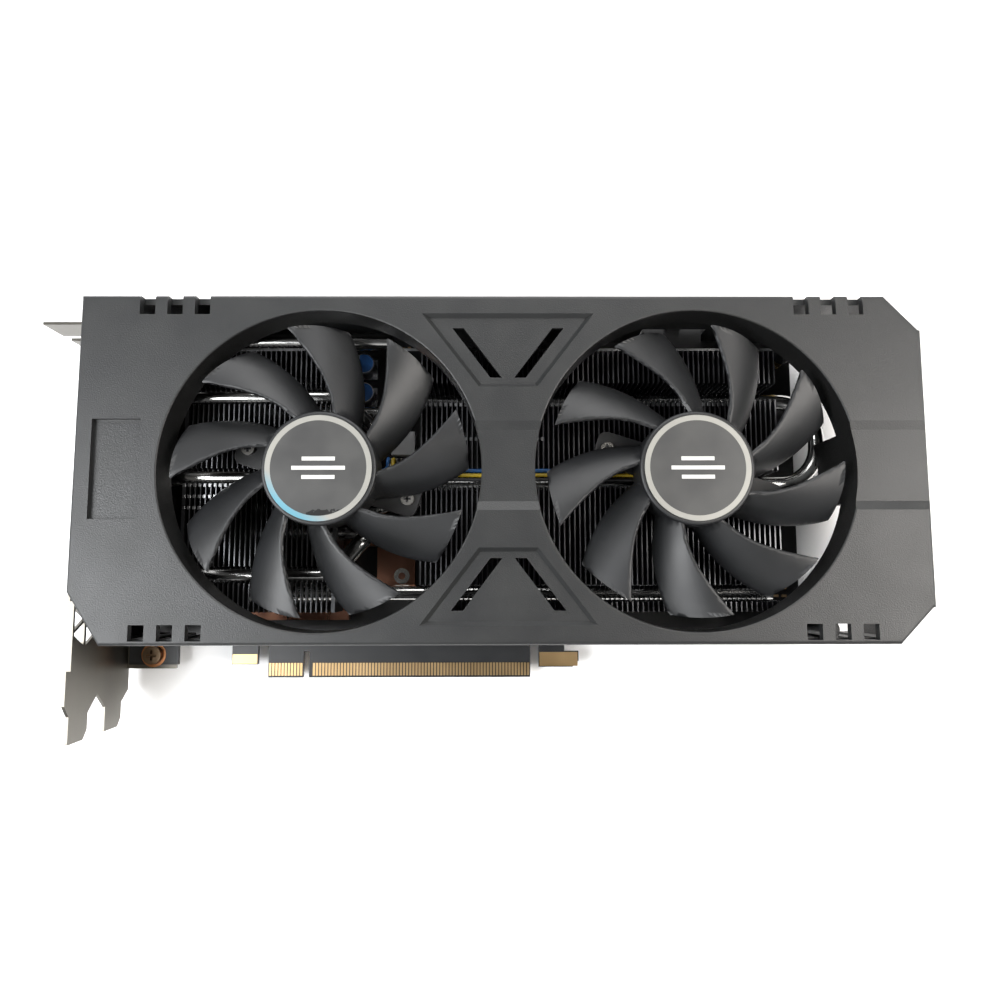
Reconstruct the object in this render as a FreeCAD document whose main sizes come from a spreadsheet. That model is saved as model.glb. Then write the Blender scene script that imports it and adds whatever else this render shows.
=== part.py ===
import FreeCAD, Part
import math
import os
import re
import Sketcher
from FreeCAD import Placement, Rotation, Vector

# Dual-fan graphics card, two slots wide.
# Origin: centre of the key notch at the contact edge, on the board's component face.
# +X runs along the card away from the bracket, +Y from the contact edge to the top edge,
# +Z out of the component face towards the fans. Millimetres.

SIZES = [
    # circuit board
    ("board_left", 57.0, "key notch to the bracket end of the board"),
    ("board_right", 160.0, "key notch to the free end of the board"),
    ("board_low", 10.6, "lower edge of the board's main area"),
    ("board_top", 111.15, "top edge of the board"),
    ("board_thick", 1.57, "board thickness"),
    ("contact_left", 12.15, "short end of the contact edge"),
    ("contact_right", 72.15, "long end of the contact edge"),
    ("key_width", 1.9, "key notch width"),
    ("key_depth", 8.25, "key notch depth"),
    ("key_land", 0.9, "key notch to the first contact on the long side"),
    ("contact_pitch", 1.0, "contact spacing"),
    ("contact_width", 0.7, "contact width"),
    ("contact_length", 4.0, "contact length"),
    ("contact_rise", 0.6, "contact distance from the edge"),
    ("contact_film", 0.06, "contact thickness"),
    ("hook_gap", 2.75, "contact edge to the retention hook"),
    ("hook_width", 12.9, "retention hook width"),
    ("hook_low", 3.2, "hook's lower edge"),
    ("hook_high", 8.2, "hook's upper edge"),
    ("hook_neck", 8.3, "width of the neck above the hook"),
    ("tab_left", 23.9, "key notch to the small tab"),
    ("tab_width", 8.3, "small tab width"),
    ("corner_width", 15.7, "bracket corner of the board"),
    ("corner_low", 4.2, "lower edge of the tab and the corner"),
    # cover
    ("cover_left", 57.8, "key notch to the bracket end of the cover"),
    ("cover_right", 183.6, "key notch to the free end of the cover"),
    ("cover_low", 13.2, "lower edge of the cover"),
    ("cover_high", 112.75, "top edge of the cover"),
    ("cover_front", 38.0, "front face of the cover"),
    ("cover_rim", 9.0, "rear rim of the cover's side walls"),
    ("skirt_low", 0.4, "rear rim of the top wall, along the board"),
    ("cover_wall", 1.8, "side wall thickness"),
    ("cover_skin", 2.4, "front wall thickness"),
    ("cover_round", 1.1, "edge radius round the front face"),
    ("cut_right", 10.2, "corner cuts at the free end"),
    ("cut_step", 0.8, "small step beside the free end's cuts"),
    ("cut_left_x", 9.5, "lower bracket corner cut, along X"),
    ("cut_left_y", 14.8, "lower bracket corner cut, along Y"),
    ("band_low", 53.1, "lower edge of the sunk band's floor"),
    ("band_high", 73.5, "upper edge of the sunk band's floor"),
    ("band_slope", 2.5, "width of the band's slopes"),
    ("band_depth", 0.8, "depth of the sunk band"),
    ("panel_long", 49.5, "long side of a sunk panel"),
    ("panel_short", 16.6, "short side of a sunk panel"),
    ("panel_outer", 5.4, "sunk panel to the cover's long edges"),
    ("panel_height", 21.5, "sunk panel height"),
    ("panel_depth", 1.2, "sunk panel depth"),
    ("panel_slope", 1.1, "width of the panel's slopes"),
    ("slot_width", 3.3, "slanted slot width along X"),
    ("slot_height", 14.6, "slanted slot height"),
    ("slot_lean", 11.0, "sideways run of a slanted slot"),
    ("slot_apart", 3.5, "gap between the two slots' near ends"),
    ("slot_inset", 2.9, "slots to the panel's short side"),
    ("plate_width", 13.7, "sunk name-plate area, along X"),
    ("plate_height", 28.4, "sunk name-plate area, along Y"),
    ("plate_inset", 4.9, "name-plate area to the bracket end"),
    ("plate_depth", 1.4, "name-plate area depth"),
    ("vent_width", 4.4, "edge vent opening"),
    ("vent_pitch", 7.85, "edge vent spacing"),
    ("vent_depth", 5.7, "edge vent length in from the edge"),
    ("vent_drop", 3.2, "edge vent depth from the front face"),
    ("vent_rim", 1.25, "strip left outside the lower vents"),
    ("vent_bar", 3.6, "depth of that strip"),
    ("vent_top_left", 16.9, "bracket end to the first top vent"),
    ("vent_low_left", 17.7, "bracket end to the first lower vent"),
    ("vent_right", 16.5, "free end to the last vents"),
    # fans
    ("fan_left_x", 11.4, "left fan axis"),
    ("fan_right_x", 117.9, "right fan axis"),
    ("fan_y", 62.4, "both fan axes"),
    ("ring_radius", 45.7, "fan opening radius"),
    ("ring_wall", 1.5, "fan opening wall thickness"),
    ("ring_depth", 10.5, "fan opening wall depth"),
    ("deep_wall_low", 10.8, "rear rim of the right opening's deep wall, at the band"),
    ("tip_gap", 3.8, "rotor tips to the opening's wall"),
    ("hub_radius", 16.25, "rotor hub radius"),
    ("hub_proud", 1.0, "hub face above the cover's front"),
    ("hub_height", 11.6, "rotor hub height"),
    ("hub_wall", 1.2, "rotor hub wall"),
    ("blade_top", 1.6, "hub face to the blades' leading edges"),
    ("blade_drop", 9.2, "blade height at the hub"),
    ("blade_thick", 1.0, "blade thickness"),
    ("label_radius", 15.0, "hub label radius"),
    ("label_thick", 0.3, "hub label thickness"),
    ("shaft_radius", 1.5, "fan shaft radius"),
    ("running_gap", 0.03, "shaft clearance in its sleeve"),
    ("sleeve_radius", 2.8, "bearing sleeve outer radius"),
    ("tube_wall", 0.9, "wall of the frame's bearing tube"),
    ("frame_thick", 2.0, "fan frame thickness"),
    ("frame_lift", 1.8, "fan frame above the fins"),
    ("frame_radius", 15.4, "fan frame disc radius"),
    ("arm_reach", 24.8, "fan axis to the frame screws"),
    ("arm_width", 10.0, "fan frame arm width"),
    ("arm_angle", 17.6, "fan frame arms below the X axis"),
    # heat sink
    ("fin_top", 22.5, "top of the fins"),
    ("fin_pitch", 1.54, "fin spacing"),
    ("fin_thick", 0.36, "fin thickness"),
    ("fin_web", 0.9, "plate that joins the fins"),
    ("fins_low", 21.6, "lower edge of the fins"),
    ("fins_high", 101.7, "upper edge of the fins"),
    ("left_stack_start", -33.0, "bracket end of the left stack"),
    ("left_stack_end", 13.4, "free end of the left stack"),
    ("right_stack_start", 38.4, "bracket end of the right stack"),
    ("right_stack_end", 146.6, "free end of the right stack"),
    ("pipe_radius", 2.5, "heat pipe radius"),
    ("pipe_gap", 0.06, "heat pipe clearance in its channels"),
    ("plate_copper", 3.4, "cold plate thickness"),
    ("groove_depth", 0.8, "pipe grooves in the cold plate"),
    # chip and its fixings
    ("chip_x", 2.2, "graphics chip centre"),
    ("chip_y", 61.4, "graphics chip centre"),
    ("chip_width", 37.0, "chip package side"),
    ("chip_thick", 1.8, "chip package height"),
    ("die_width", 19.0, "die side"),
    ("die_thick", 0.8, "die height"),
    ("fixing_span", 58.0, "spacing of the cooler's four screws"),
    ("memory_width", 12.0, "memory chip, along X"),
    ("memory_height", 14.0, "memory chip, along Y"),
    ("memory_thick", 1.1, "memory chip height"),
    ("can_radius", 3.3, "polymer capacitor radius"),
    ("can_height", 8.4, "polymer capacitor height"),
    ("choke_width", 7.6, "choke side"),
    ("choke_height", 5.4, "choke height"),
    # bracket
    ("bracket_inner", 58.19, "key notch to the bracket's inner face"),
    ("bracket_thick", 0.86, "bracket sheet thickness"),
    ("bracket_near", 34.4, "fan-side edge of the bracket"),
    ("bracket_far", 2.9, "bracket behind the component face"),
    ("bracket_tip", 14.6, "tongue tips below the contact edge"),
    ("bracket_high", 106.0, "outer face of the bracket's top tab"),
    ("tab_reach", 11.43, "top tab beyond the bracket's face"),
    ("tab_notch", 6.4, "length of the top tab's notches"),
    ("tongue_width", 10.19, "bracket tongue width"),
    ("tongue_centre", 6.47, "first tongue's centre above the component face"),
    ("slot_pitch", 20.32, "expansion slot spacing"),
    ("port_gap", 0.4, "bracket window clearance round a socket"),
    # power socket
    ("standoff_height", 7.5, "standoffs between board and cover"),
    ("socket_width", 18.6, "8-pin power socket, along X"),
    ("socket_depth", 11.0, "power socket, along Y"),
    ("socket_height", 10.4, "power socket, above the board"),
    ("socket_x", 109.0, "power socket's bracket-side face"),
    ("socket_overhang", 5.0, "power socket beyond the board's edge"),
    # leads
    ("lead_radius", 0.55, "fan lead radius"),
]

doc = FreeCAD.newDocument("graphics_card")
sheet = doc.addObject("Spreadsheet::Sheet", "size")
for row, (alias, value, note) in enumerate(SIZES, start=1):
    sheet.set("A%d" % row, alias)
    sheet.set("B%d" % row, str(value))
    sheet.set("C%d" % row, note)
    sheet.setAlias("B%d" % row, alias)
doc.recompute()

NODES = []
ALIASES = {alias for alias, _, _ in SIZES}
UP = Vector(0, 0, 1)


def size(alias):
    """A value from the spreadsheet, in millimetres."""
    return float(sheet.get(alias))


def expand(formula):
    """Point every size name in a formula at the sheet."""
    return re.sub(r"[a-z][a-z_]*", lambda m: "size." + m[0] if m[0] in ALIASES else m[0], formula)


def number(formula):
    """The value that a formula has now."""
    return float(sheet.evalExpression(expand(formula)))


def bind(obj, **formulas):
    """Tie properties to formulas; a double underscore stands for a dot."""
    for path, formula in formulas.items():
        obj.setExpression(path.replace("__", "."), expand(formula))
    return obj


def place(obj, x, y, z, turn=0.0, axis=UP):
    """Tie an object's position to three formulas, after a turn about an axis."""
    obj.Placement = Placement(Vector(), Rotation(axis, turn))
    return bind(obj, Placement__Base__x=x, Placement__Base__y=y, Placement__Base__z=z)


def node(name, obj):
    """Make an object a finished sub-part of that name."""
    obj.Label = name
    NODES.append(obj)
    return obj


def box(name, length, width, height, x, y, z):
    """A block with its low corner at x, y, z; every argument is a formula."""
    made = doc.addObject("Part::Box", name)
    bind(made, Length=length, Width=width, Height=height)
    return place(made, x, y, z)


def cylinder(name, radius, height, x, y, z):
    """An upright cylinder standing on the point x, y, z; every argument is a formula."""
    made = doc.addObject("Part::Cylinder", name)
    bind(made, Radius=radius, Height=height)
    return place(made, x, y, z)


def group(name, *parts):
    """Separate solids kept together as one object."""
    made = doc.addObject("Part::Compound", name)
    made.Links = list(parts)
    return made


def cut(name, base, *tools):
    """The base less every tool."""
    made = doc.addObject("Part::Cut", name)
    made.Base = base
    made.Tool = tools[0] if len(tools) == 1 else group(name + "_tools", *tools)
    return made


def fuse(name, *parts):
    """One solid from several."""
    made = doc.addObject("Part::MultiFuse", name)
    made.Shapes = list(parts)
    made.Refine = True
    return made


def solid(name, shape):
    """A finished shape made from the sheet's values."""
    made = doc.addObject("Part::Feature", name)
    made.Shape = shape
    return made


def tube(name, outer, inner, height, x, y, z):
    """An upright tube standing on the point x, y, z."""
    return cut(name, cylinder(name + "_outside", outer, height, x, y, z),
               cylinder(name + "_bore", inner, height, x, y, z))


def block(x, y, z, length, width, height):
    """A plain block from numbers, for loops of many small solids."""
    return Part.makeBox(length, width, height, Vector(x, y, z))


def body_of(name):
    """A new PartDesign body."""
    return doc.addObject("PartDesign::Body", name)


def sketch_on(body, name, lift="0", role="XY_Plane"):
    """A sketch on one of the body's origin planes, lifted by a formula."""
    made = body.newObject("Sketcher::SketchObject", name)
    plane = [f for f in body.Origin.OriginFeatures if f.Role == role][0]
    made.AttachmentSupport = [(plane, "")]
    made.MapMode = "FlatFace"
    made.setExpression(".AttachmentOffset.Base.z", expand(lift))
    return made


def pin_point(sketch, geometry, end, x, y):
    """Hold one end of a sketch element at two formulas."""
    for kind, formula in (("DistanceX", x), ("DistanceY", y)):
        index = sketch.addConstraint(Sketcher.Constraint(kind, -1, 1, geometry, end, number(formula)))
        sketch.setExpression("Constraints[%d]" % index, expand(formula))


def draw_polygon(sketch, points):
    """A closed outline through points given as pairs of formulas."""
    spots = [Vector(number(x), number(y), 0) for x, y in points]
    first = sketch.GeometryCount
    for here, there in zip(spots, spots[1:] + spots[:1]):
        sketch.addGeometry(Part.LineSegment(here, there), False)
    last = first + len(points) - 1
    for index in range(first, last + 1):
        following = first if index == last else index + 1
        sketch.addConstraint(Sketcher.Constraint("Coincident", index, 2, following, 1))
    for index, (x, y) in enumerate(points):
        pin_point(sketch, first + index, 1, x, y)


def draw_rectangle(sketch, x, y, length, width):
    """A rectangle from its low corner and its sides, all formulas."""
    far_x, far_y = "(%s) + (%s)" % (x, length), "(%s) + (%s)" % (y, width)
    draw_polygon(sketch, [(x, y), (far_x, y), (far_x, far_y), (x, far_y)])


def draw_circle(sketch, x, y, radius):
    """A circle from its centre and radius, all formulas."""
    centre = Vector(number(x), number(y), 0)
    index = sketch.addGeometry(Part.Circle(centre, UP, number(radius)), False)
    held = sketch.addConstraint(Sketcher.Constraint("Radius", index, number(radius)))
    sketch.setExpression("Constraints[%d]" % held, expand(radius))
    pin_point(sketch, index, 3, x, y)


def pad(body, sketch, length, down=False):
    """Raise a sketch into a solid."""
    made = body.newObject("PartDesign::Pad", "Pad")
    made.Profile = sketch
    made.Reversed = down
    return bind(made, Length=length)


def pocket(body, sketch, length, up=False, taper=None):
    """Sink a sketch into the solid; it cuts downwards unless told otherwise."""
    made = body.newObject("PartDesign::Pocket", "Pocket")
    made.Profile = sketch
    made.Reversed = up
    if taper is not None:
        bind(made, TaperAngle=taper)
    return bind(made, Length=length)


def round_edges(body, base, radius, wanted):
    """Fillet the edges of a feature that a test picks out."""
    doc.recompute()
    names = ["Edge%d" % number for number, edge in enumerate(base.Shape.Edges, 1) if wanted(edge)]
    made = body.newObject("PartDesign::Fillet", "Fillet")
    made.Base = (base, names)
    return bind(made, Radius=radius)


# ---------------------------------------------------------------- heights above the board
COLD_PLATE_LOW = "chip_thick + die_thick"
LOW_PIPE = "chip_thick + die_thick + plate_copper - groove_depth + pipe_radius"
HIGH_PIPE = "fin_top - pipe_radius"
LEFT_STACK_LOW = LOW_PIPE + " + pipe_radius + pipe_gap"
RIGHT_STACK_LOW = LOW_PIPE + " - pipe_radius - pipe_gap - fin_web"
FRAME_LOW = "fin_top + frame_lift"
FRAME_TOP = "fin_top + frame_lift + frame_thick"
HUB_TOP = "cover_front + hub_proud - label_thick"
HUB_LOW = HUB_TOP + " - hub_height"
BLADE_REACH = "(ring_radius - tip_gap)"

FANS = {"left": "fan_left_x", "right": "fan_right_x"}
BLADE_PHASE = {"left": 24.3, "right": 3.2}
FIXINGS = [("chip_x %s fixing_span / 2" % a, "chip_y %s fixing_span / 2" % b) for a in "-+" for b in "-+"]
BRACKET_HOLES = [("-board_left + corner_width / 2", "corner_low + 3.1"),
                 ("-board_left + corner_width / 2", "board_top - 9")]
COOLER_HOLES = [("board_right - 5.5", "board_low + 6.5"), ("board_right - 5.5", "board_top - 7")]


# ---------------------------------------------------------------- circuit board
def make_board():
    """The board with its contact edge, key notch, hook, tab and screw holes."""
    hook = "contact_right + hook_gap"
    outline = [
        ("-board_left", "corner_low"), ("-board_left + corner_width", "corner_low"),
        ("-board_left + corner_width", "board_low"), ("-tab_left", "board_low"),
        ("-tab_left", "corner_low"), ("-tab_left + tab_width", "corner_low"),
        ("-tab_left + tab_width", "board_low"), ("-contact_left", "board_low"),
        ("-contact_left", "0"), ("-key_width / 2", "0"), ("-key_width / 2", "key_depth"),
        ("key_width / 2", "key_depth"), ("key_width / 2", "0"), ("contact_right", "0"),
        ("contact_right", "board_low"), (hook, "board_low"), (hook, "hook_low"),
        (hook + " + hook_width - 2", "hook_low"), (hook + " + hook_width", "hook_low + 2"),
        (hook + " + hook_width", "hook_high"), (hook + " + hook_neck", "hook_high"),
        (hook + " + hook_neck", "board_low"), ("board_right", "board_low"),
        ("board_right", "board_top"), ("-board_left", "board_top"),
    ]
    board = body_of("board")
    sheet_outline = sketch_on(board, "board_outline")
    draw_polygon(sheet_outline, outline)
    pad(board, sheet_outline, "board_thick", down=True)
    holes = sketch_on(board, "board_holes")
    for x, y in FIXINGS + BRACKET_HOLES + COOLER_HOLES:
        draw_circle(holes, x, y, "1.6")
    pocket(board, holes, "board_thick")
    node("pcb", board)


def make_contacts():
    """Gold contacts on both faces, on each side of the key notch."""
    pitch, width, film = size("contact_pitch"), size("contact_width"), size("contact_film")
    pads = []
    key_side = size("key_width") / 2
    for low, high in ((-size("contact_left"), -key_side), (key_side + size("key_land"), size("contact_right"))):
        count = int((high - low - 0.2) / pitch)
        start = low + (high - low - (count - 1) * pitch) / 2
        for index in range(count):
            for z in (0, -size("board_thick") - film):
                pads.append(block(start + index * pitch - width / 2, size("contact_rise"), z,
                                  width, size("contact_length"), film))
    node("gold_fingers", solid("gold_fingers", Part.makeCompound(pads)))


def chip(name, width, height, thick, x, y, z="0"):
    """A flat chip centred on x, y."""
    return box(name, width, height, thick, "(%s) - (%s) / 2" % (x, width), "(%s) - (%s) / 2" % (y, height), z)


def make_chips():
    """Graphics chip, memory, power stages, controllers and their thermal pads."""
    node("gpu_package", chip("gpu_package", "chip_width", "chip_width", "chip_thick", "chip_x", "chip_y"))
    node("gpu_die", chip("gpu_die", "die_width", "die_width", "die_thick", "chip_x", "chip_y", "chip_thick"))
    beside = "chip_x - chip_width / 2 - memory_width / 2 - 2.5"
    above = "chip_y + chip_width / 2 + memory_height / 2 + 2"
    below = "chip_y - chip_width / 2 - memory_height / 2 - 2"
    spots = [(beside, "chip_y - 9"), (beside, "chip_y + 9")]
    spots += [("chip_x - 9", above), ("chip_x + 5.5", above), ("chip_x - 9", below), ("chip_x + 5.5", below)]
    memory, cushions = [], []
    for x, y in spots:
        memory.append(chip("memory", "memory_width", "memory_height", "memory_thick", x, y))
        cushions.append(chip("memory_pad", "memory_width - 1", "memory_height - 1",
                             "chip_thick + die_thick - memory_thick", x, y, "memory_thick"))
    stages = []
    stage_x = "right_stack_start + 6"
    for index in range(6):
        y = "chip_y - 32 + %d * 12" % index
        stages.append(chip("stage", "5", "6", "0.9", stage_x, y))
        cushions.append(chip("stage_pad", "8", "7", "2", stage_x, y, "0.9"))
    node("memory_chips", group("memory_chips", *memory))
    node("power_stages", group("power_stages", *stages))
    node("thermal_pads", group("thermal_pads", *cushions))
    node("vrm_plate", box("vrm_plate", "12", "70", RIGHT_STACK_LOW + " - 2.9",
                          stage_x + " - 5.2", "chip_y - 37", "2.9"))
    controllers = [chip("controller", "7", "7", "0.9", "board_right - 9", "chip_y + 12"),
                   chip("controller", "5", "5", "0.9", "-board_left + 20", "board_low + 12"),
                   chip("controller", "5", "6", "1.5", "-board_left + 20", "board_top - 14"),
                   chip("controller", "4", "4", "0.9", "board_right - 8", "chip_y - 16")]
    node("controller_chips", group("controller_chips", *controllers))


def make_tall_parts():
    """Polymer capacitors and chokes between the fin stacks."""
    cans = []
    gap_x = "left_stack_end + 5.0"
    for y in ("chip_y + 39.7", "chip_y + 30.1"):
        can = cylinder("can", "can_radius", "can_height - 0.8", gap_x, y, "0.8")
        foot = chip("can_foot", "can_radius * 2", "can_radius * 2", "0.8", gap_x, y)
        cans.append(fuse("polymer_can", can, foot))
    node("polymer_capacitors", group("polymer_capacitors", *cans))
    chokes = []
    for y in ("chip_y + 14", "chip_y + 38.5"):
        chokes.append(chip("choke", "choke_width", "choke_width", "choke_height", "right_stack_start - 7.4", y))
    node("chokes", group("chokes", *chokes))


def small_part_rows(spans, z, lift):
    """Rows of surface-mount parts: each span is x, y, count along X, count along Y, pitch."""
    parts = []
    for x, y, columns, rows, pitch in spans:
        for i in range(columns):
            for j in range(rows):
                long_part = (i + 2 * j) % 3
                length, width = (1.6, 0.8) if long_part else (1.0, 1.0)
                parts.append(block(x + i * pitch, y + j * pitch, z, length, width, lift))
    return Part.makeCompound(parts)


def make_small_parts():
    """Small resistors and capacitors on both faces."""
    chip_x, chip_y, half = size("chip_x"), size("chip_y"), size("chip_width") / 2
    gap = size("left_stack_end") + 0.5
    front = [(gap + 11.5, chip_y + 21.5, 1, 1, 2.4), (gap + 10.5, chip_y + 46.6, 5, 1, 2.4),
             (gap + 0.2, chip_y + 46.4, 3, 1, 2.4), (gap + 0.2, chip_y + 34.6, 1, 1, 2.4),
             (size("board_right") - 11, chip_y - 36, 3, 5, 2.6),
             (size("board_right") - 11, chip_y - 8, 3, 5, 2.6),
             (-size("board_left") + 20, chip_y - 24, 2, 18, 2.4)]
    node("small_parts_front", solid("small_parts_front", small_part_rows(front, 0, 0.6)))
    lift = 0.6
    back_z = -size("board_thick") - lift
    back = [(chip_x - 5.8, chip_y - 5.8, 5, 5, 2.5), (chip_x - half - 14, chip_y - 16, 2, 14, 2.4),
            (size("right_stack_start") + 2, chip_y - 34, 4, 27, 2.6),
            (size("right_stack_start") + 42, chip_y - 30, 6, 6, 3.0),
            (size("right_stack_start") + 70, chip_y + 6, 9, 5, 3.0),
            (chip_x - 12, chip_y - half - 22, 12, 2, 2.6), (chip_x - 12, chip_y + half + 17, 12, 2, 2.6)]
    node("small_parts_back", solid("small_parts_back", small_part_rows(back, back_z, lift)))


# ---------------------------------------------------------------- cooler
def route(points, radii):
    """A wire of straight runs joined by tangent arcs, one radius for each inner point."""
    spots = [Vector(*[number(value) for value in point]) for point in points]
    edges, start = [], spots[0]
    for before, corner, after, radius in zip(spots, spots[1:], spots[2:], radii):
        back, ahead = (before - corner).normalize(), (after - corner).normalize()
        half = back.getAngle(ahead) / 2
        reach = radius / math.tan(half)
        middle = corner + (back + ahead).normalize() * (radius / math.sin(half) - radius)
        enter, leave = corner + back * reach, corner + ahead * reach
        if (enter - start).Length > 0.001:
            edges.append(Part.LineSegment(start, enter).toShape())
        edges.append(Part.Arc(enter, middle, leave).toShape())
        start = leave
    edges.append(Part.LineSegment(start, spots[-1]).toShape())
    return Part.Wire(edges)


def swept(path, radius):
    """A round bar along a wire."""
    first = path.Edges[0]
    start = first.FirstParameter
    ring = Part.Wire(Part.makeCircle(radius, first.valueAt(start), first.tangentAt(start)))
    return path.makePipeShell([ring], True, True)


def pipe_routes():
    """Every heat pipe's run: points and bend radii."""
    low, high = "(%s)" % LOW_PIPE, "(%s)" % HIGH_PIPE
    turn = (number(high) - number(low)) / 2 - 0.01
    end = "left_stack_start - 5.6"
    plate_x = "chip_x - 14"
    drop = "left_stack_end + 10.1"
    right_end = "right_stack_end + 18"
    join = "right_stack_start - 3.4"
    rows = {"a": "chip_y + 43.1", "b": "chip_y + 25.5", "c": "chip_y + 0.8", "d": "chip_y - 28.7",
            "loop_high": "chip_y + 26.9", "loop_low": "chip_y + 0.1", "bar": "chip_y - 34.3"}
    return {
        "heat_pipe_1": ([("left_stack_end + 16", rows["a"], high), (end, rows["a"], high),
                         (end, rows["a"], low), ("left_stack_start + 6", rows["a"], low),
                         ("left_stack_start + 20", "chip_y + 30.8", low), ("chip_x + 8", "chip_y + 30.8", low)],
                        [turn, turn, 6, 6]),
        "heat_pipe_2": ([(end, rows["b"], high), ("left_stack_end + 0.6", rows["b"], high),
                         (drop, "chip_y + 15.6", high), (drop, "chip_y + 15.6", low),
                         (plate_x, "chip_y + 15.6", low)], [9, turn, turn]),
        "heat_pipe_3": ([("left_stack_end - 2", rows["c"], high), (end, rows["c"], high),
                         (end, rows["c"], low), ("chip_x + 8", rows["c"], low)], [turn, turn]),
        "heat_pipe_4": ([(end, rows["d"], high), ("left_stack_end - 1.4", rows["d"], high),
                         (drop, "chip_y - 15.4", high), (drop, "chip_y - 15.4", low),
                         (plate_x, "chip_y - 15.4", low)], [9, turn, turn]),
        "heat_pipe_5": ([(plate_x, "chip_y + 23.1", low), ("left_stack_end + 10.6", "chip_y + 23.1", low),
                         (join, rows["loop_high"], low), (right_end, rows["loop_high"], low),
                         (right_end, rows["loop_low"], low), (join, rows["loop_low"], low),
                         ("left_stack_end + 12.6", "chip_y - 7.3", low), (plate_x, "chip_y - 7.3", low)],
                        [9, 9, 12.5, 12.5, 9, 9]),
        "heat_pipe_6": ([(plate_x, rows["bar"], low), ("right_stack_end + 1.5", rows["bar"], low)], []),
    }


def make_pipes():
    """Six heat pipes, and for each the wider shape that clears a channel for it."""
    channels = []
    for name, (points, radii) in pipe_routes().items():
        path = route(points, radii)
        node(name, solid(name, swept(path, size("pipe_radius"))))
        channels.append(swept(path, size("pipe_radius") + size("pipe_gap")))
    return channels


def make_cold_plate(channels):
    """Copper plate on the chip, with lobes for the four screws and grooves for the pipes."""
    west, east = "chip_x - fixing_span / 2 - 4.2", "chip_x + fixing_span / 2 + 4.1"
    south, north = "fins_low - 3", "chip_y + fixing_span / 2 + 4.6"
    inner, gap = "left_stack_end + 9.1", "left_stack_end + 1.1"
    outline = [
        (west, south), (gap, south), (gap, "chip_y - 19.4"), (east + " - 12", "chip_y - 19.4"),
        (east + " - 12", "chip_y - fixing_span / 2 - 6.9"), (east, "chip_y - fixing_span / 2 - 6.9"),
        (east, "chip_y - 13.4"), (inner, "chip_y - 13.4"), (inner, "chip_y + 22.8"), (east, "chip_y + 22.8"),
        (east, north), (east + " - 8.1", north), (east + " - 8.1", "chip_y + 25.7"),
        ("left_stack_end + 1.2", "chip_y + 25.7"), ("left_stack_end + 1.2", north), (west, north),
    ]
    plate = body_of("copper")
    shape = sketch_on(plate, "copper_outline", COLD_PLATE_LOW)
    draw_polygon(shape, outline)
    pad(plate, shape, "plate_copper")
    taps = sketch_on(plate, "copper_taps", COLD_PLATE_LOW)
    for x, y in FIXINGS:
        draw_circle(taps, x, y, "1.25")
    pocket(plate, taps, "2.4", up=True)
    doc.recompute()
    grooved = plate.Shape
    for channel in channels:
        grooved = grooved.cut(channel)
    node("cold_plate", solid("cold_plate", grooved))


def fin_gaps(start, end, low):
    """The air gaps of one stack as a compound of blocks."""
    pitch, fin = size("fin_pitch"), size("fin_thick")
    count = int((end - start - fin) / pitch)
    first = start + (end - start - fin - count * pitch) / 2 + fin
    width = size("fins_high") - size("fins_low") + 2
    height = size("fin_top") - low
    return Part.makeCompound([block(first + index * pitch, size("fins_low") - 1, low + size("fin_web"),
                                    pitch - fin, width, height) for index in range(count)])


def open_channels(slab, channels, low, high):
    """Cut each pipe's channel from a slab, open upwards to the slab's top."""
    for channel in channels:
        bottom = channel.BoundBox.ZMin
        reach = high - max(bottom, low)
        steps = max(1, math.ceil(reach / size("pipe_radius")) - 1)
        for step in range(steps + 1):
            slab = slab.cut(channel.translated(UP * size("pipe_radius") * step))
    return slab


def make_stack(name, start, end, low, pads, channels):
    """One stack of fins on a web, with channels for pipes and solid pads for screws."""
    slab = Part.makeBox(number(end) - number(start), number("fins_high") - number("fins_low"),
                        number("fin_top") - number(low), Vector(number(start), number("fins_low"), number(low)))
    slab = open_channels(slab, channels, number(low), number("fin_top"))
    fins = solid(name + "_fins", slab.cut(fin_gaps(number(start), number(end), number(low))))
    lands, wells, taps = [], [], []
    for x, y, from_below in pads:
        lands.append(cylinder(name + "_land", "3.6", "3", x, y, "fin_top - 3"))
        taps.append(cylinder(name + "_tap", "1.0", "3", x, y, "fin_top - 3"))
        if from_below:
            wells.append(cylinder(name + "_well", "2.6", "fin_top - 3 - (%s)" % low, x, y, low))
    opened = cut(name + "_opened", fins, *wells) if wells else fins
    whole = fuse(name + "_whole", opened, *lands)
    node(name, cut(name, whole, *taps))


def frame_lugs():
    """Where the fan frames' screws go: fan, x, y."""
    lugs = []
    for side, axis in FANS.items():
        for turn in (0, 180):
            angle = math.radians(turn - size("arm_angle"))
            across, along = math.cos(angle), math.sin(angle)
            lugs.append((side, "%s + arm_reach * %.6f" % (axis, across), "fan_y + arm_reach * %.6f" % along))
    return lugs


COVER_POSTS = [("left_stack_start + 6", "fins_high - 6.4"), ("left_stack_start + 6", "fins_low + 4.4"),
               ("(fan_left_x + fan_right_x) / 2", "fins_high - 8"),
               ("(fan_left_x + fan_right_x) / 2", "fins_low + 7.4")]


def make_stacks(channels):
    """The two fin stacks."""
    left_lug, right_lugs = [], []
    for side, x, y in frame_lugs():
        target = left_lug if number(x) < number("left_stack_end") else right_lugs
        target.append((x, y, False))
    make_stack("fin_stack_left", "left_stack_start", "left_stack_end", LEFT_STACK_LOW,
               left_lug + [(x, y, True) for x, y in COVER_POSTS[:2]], channels)
    make_stack("fin_stack_right", "right_stack_start", "right_stack_end", RIGHT_STACK_LOW,
               right_lugs + [(x, y, True) for x, y in COVER_POSTS[2:]], channels)


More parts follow.
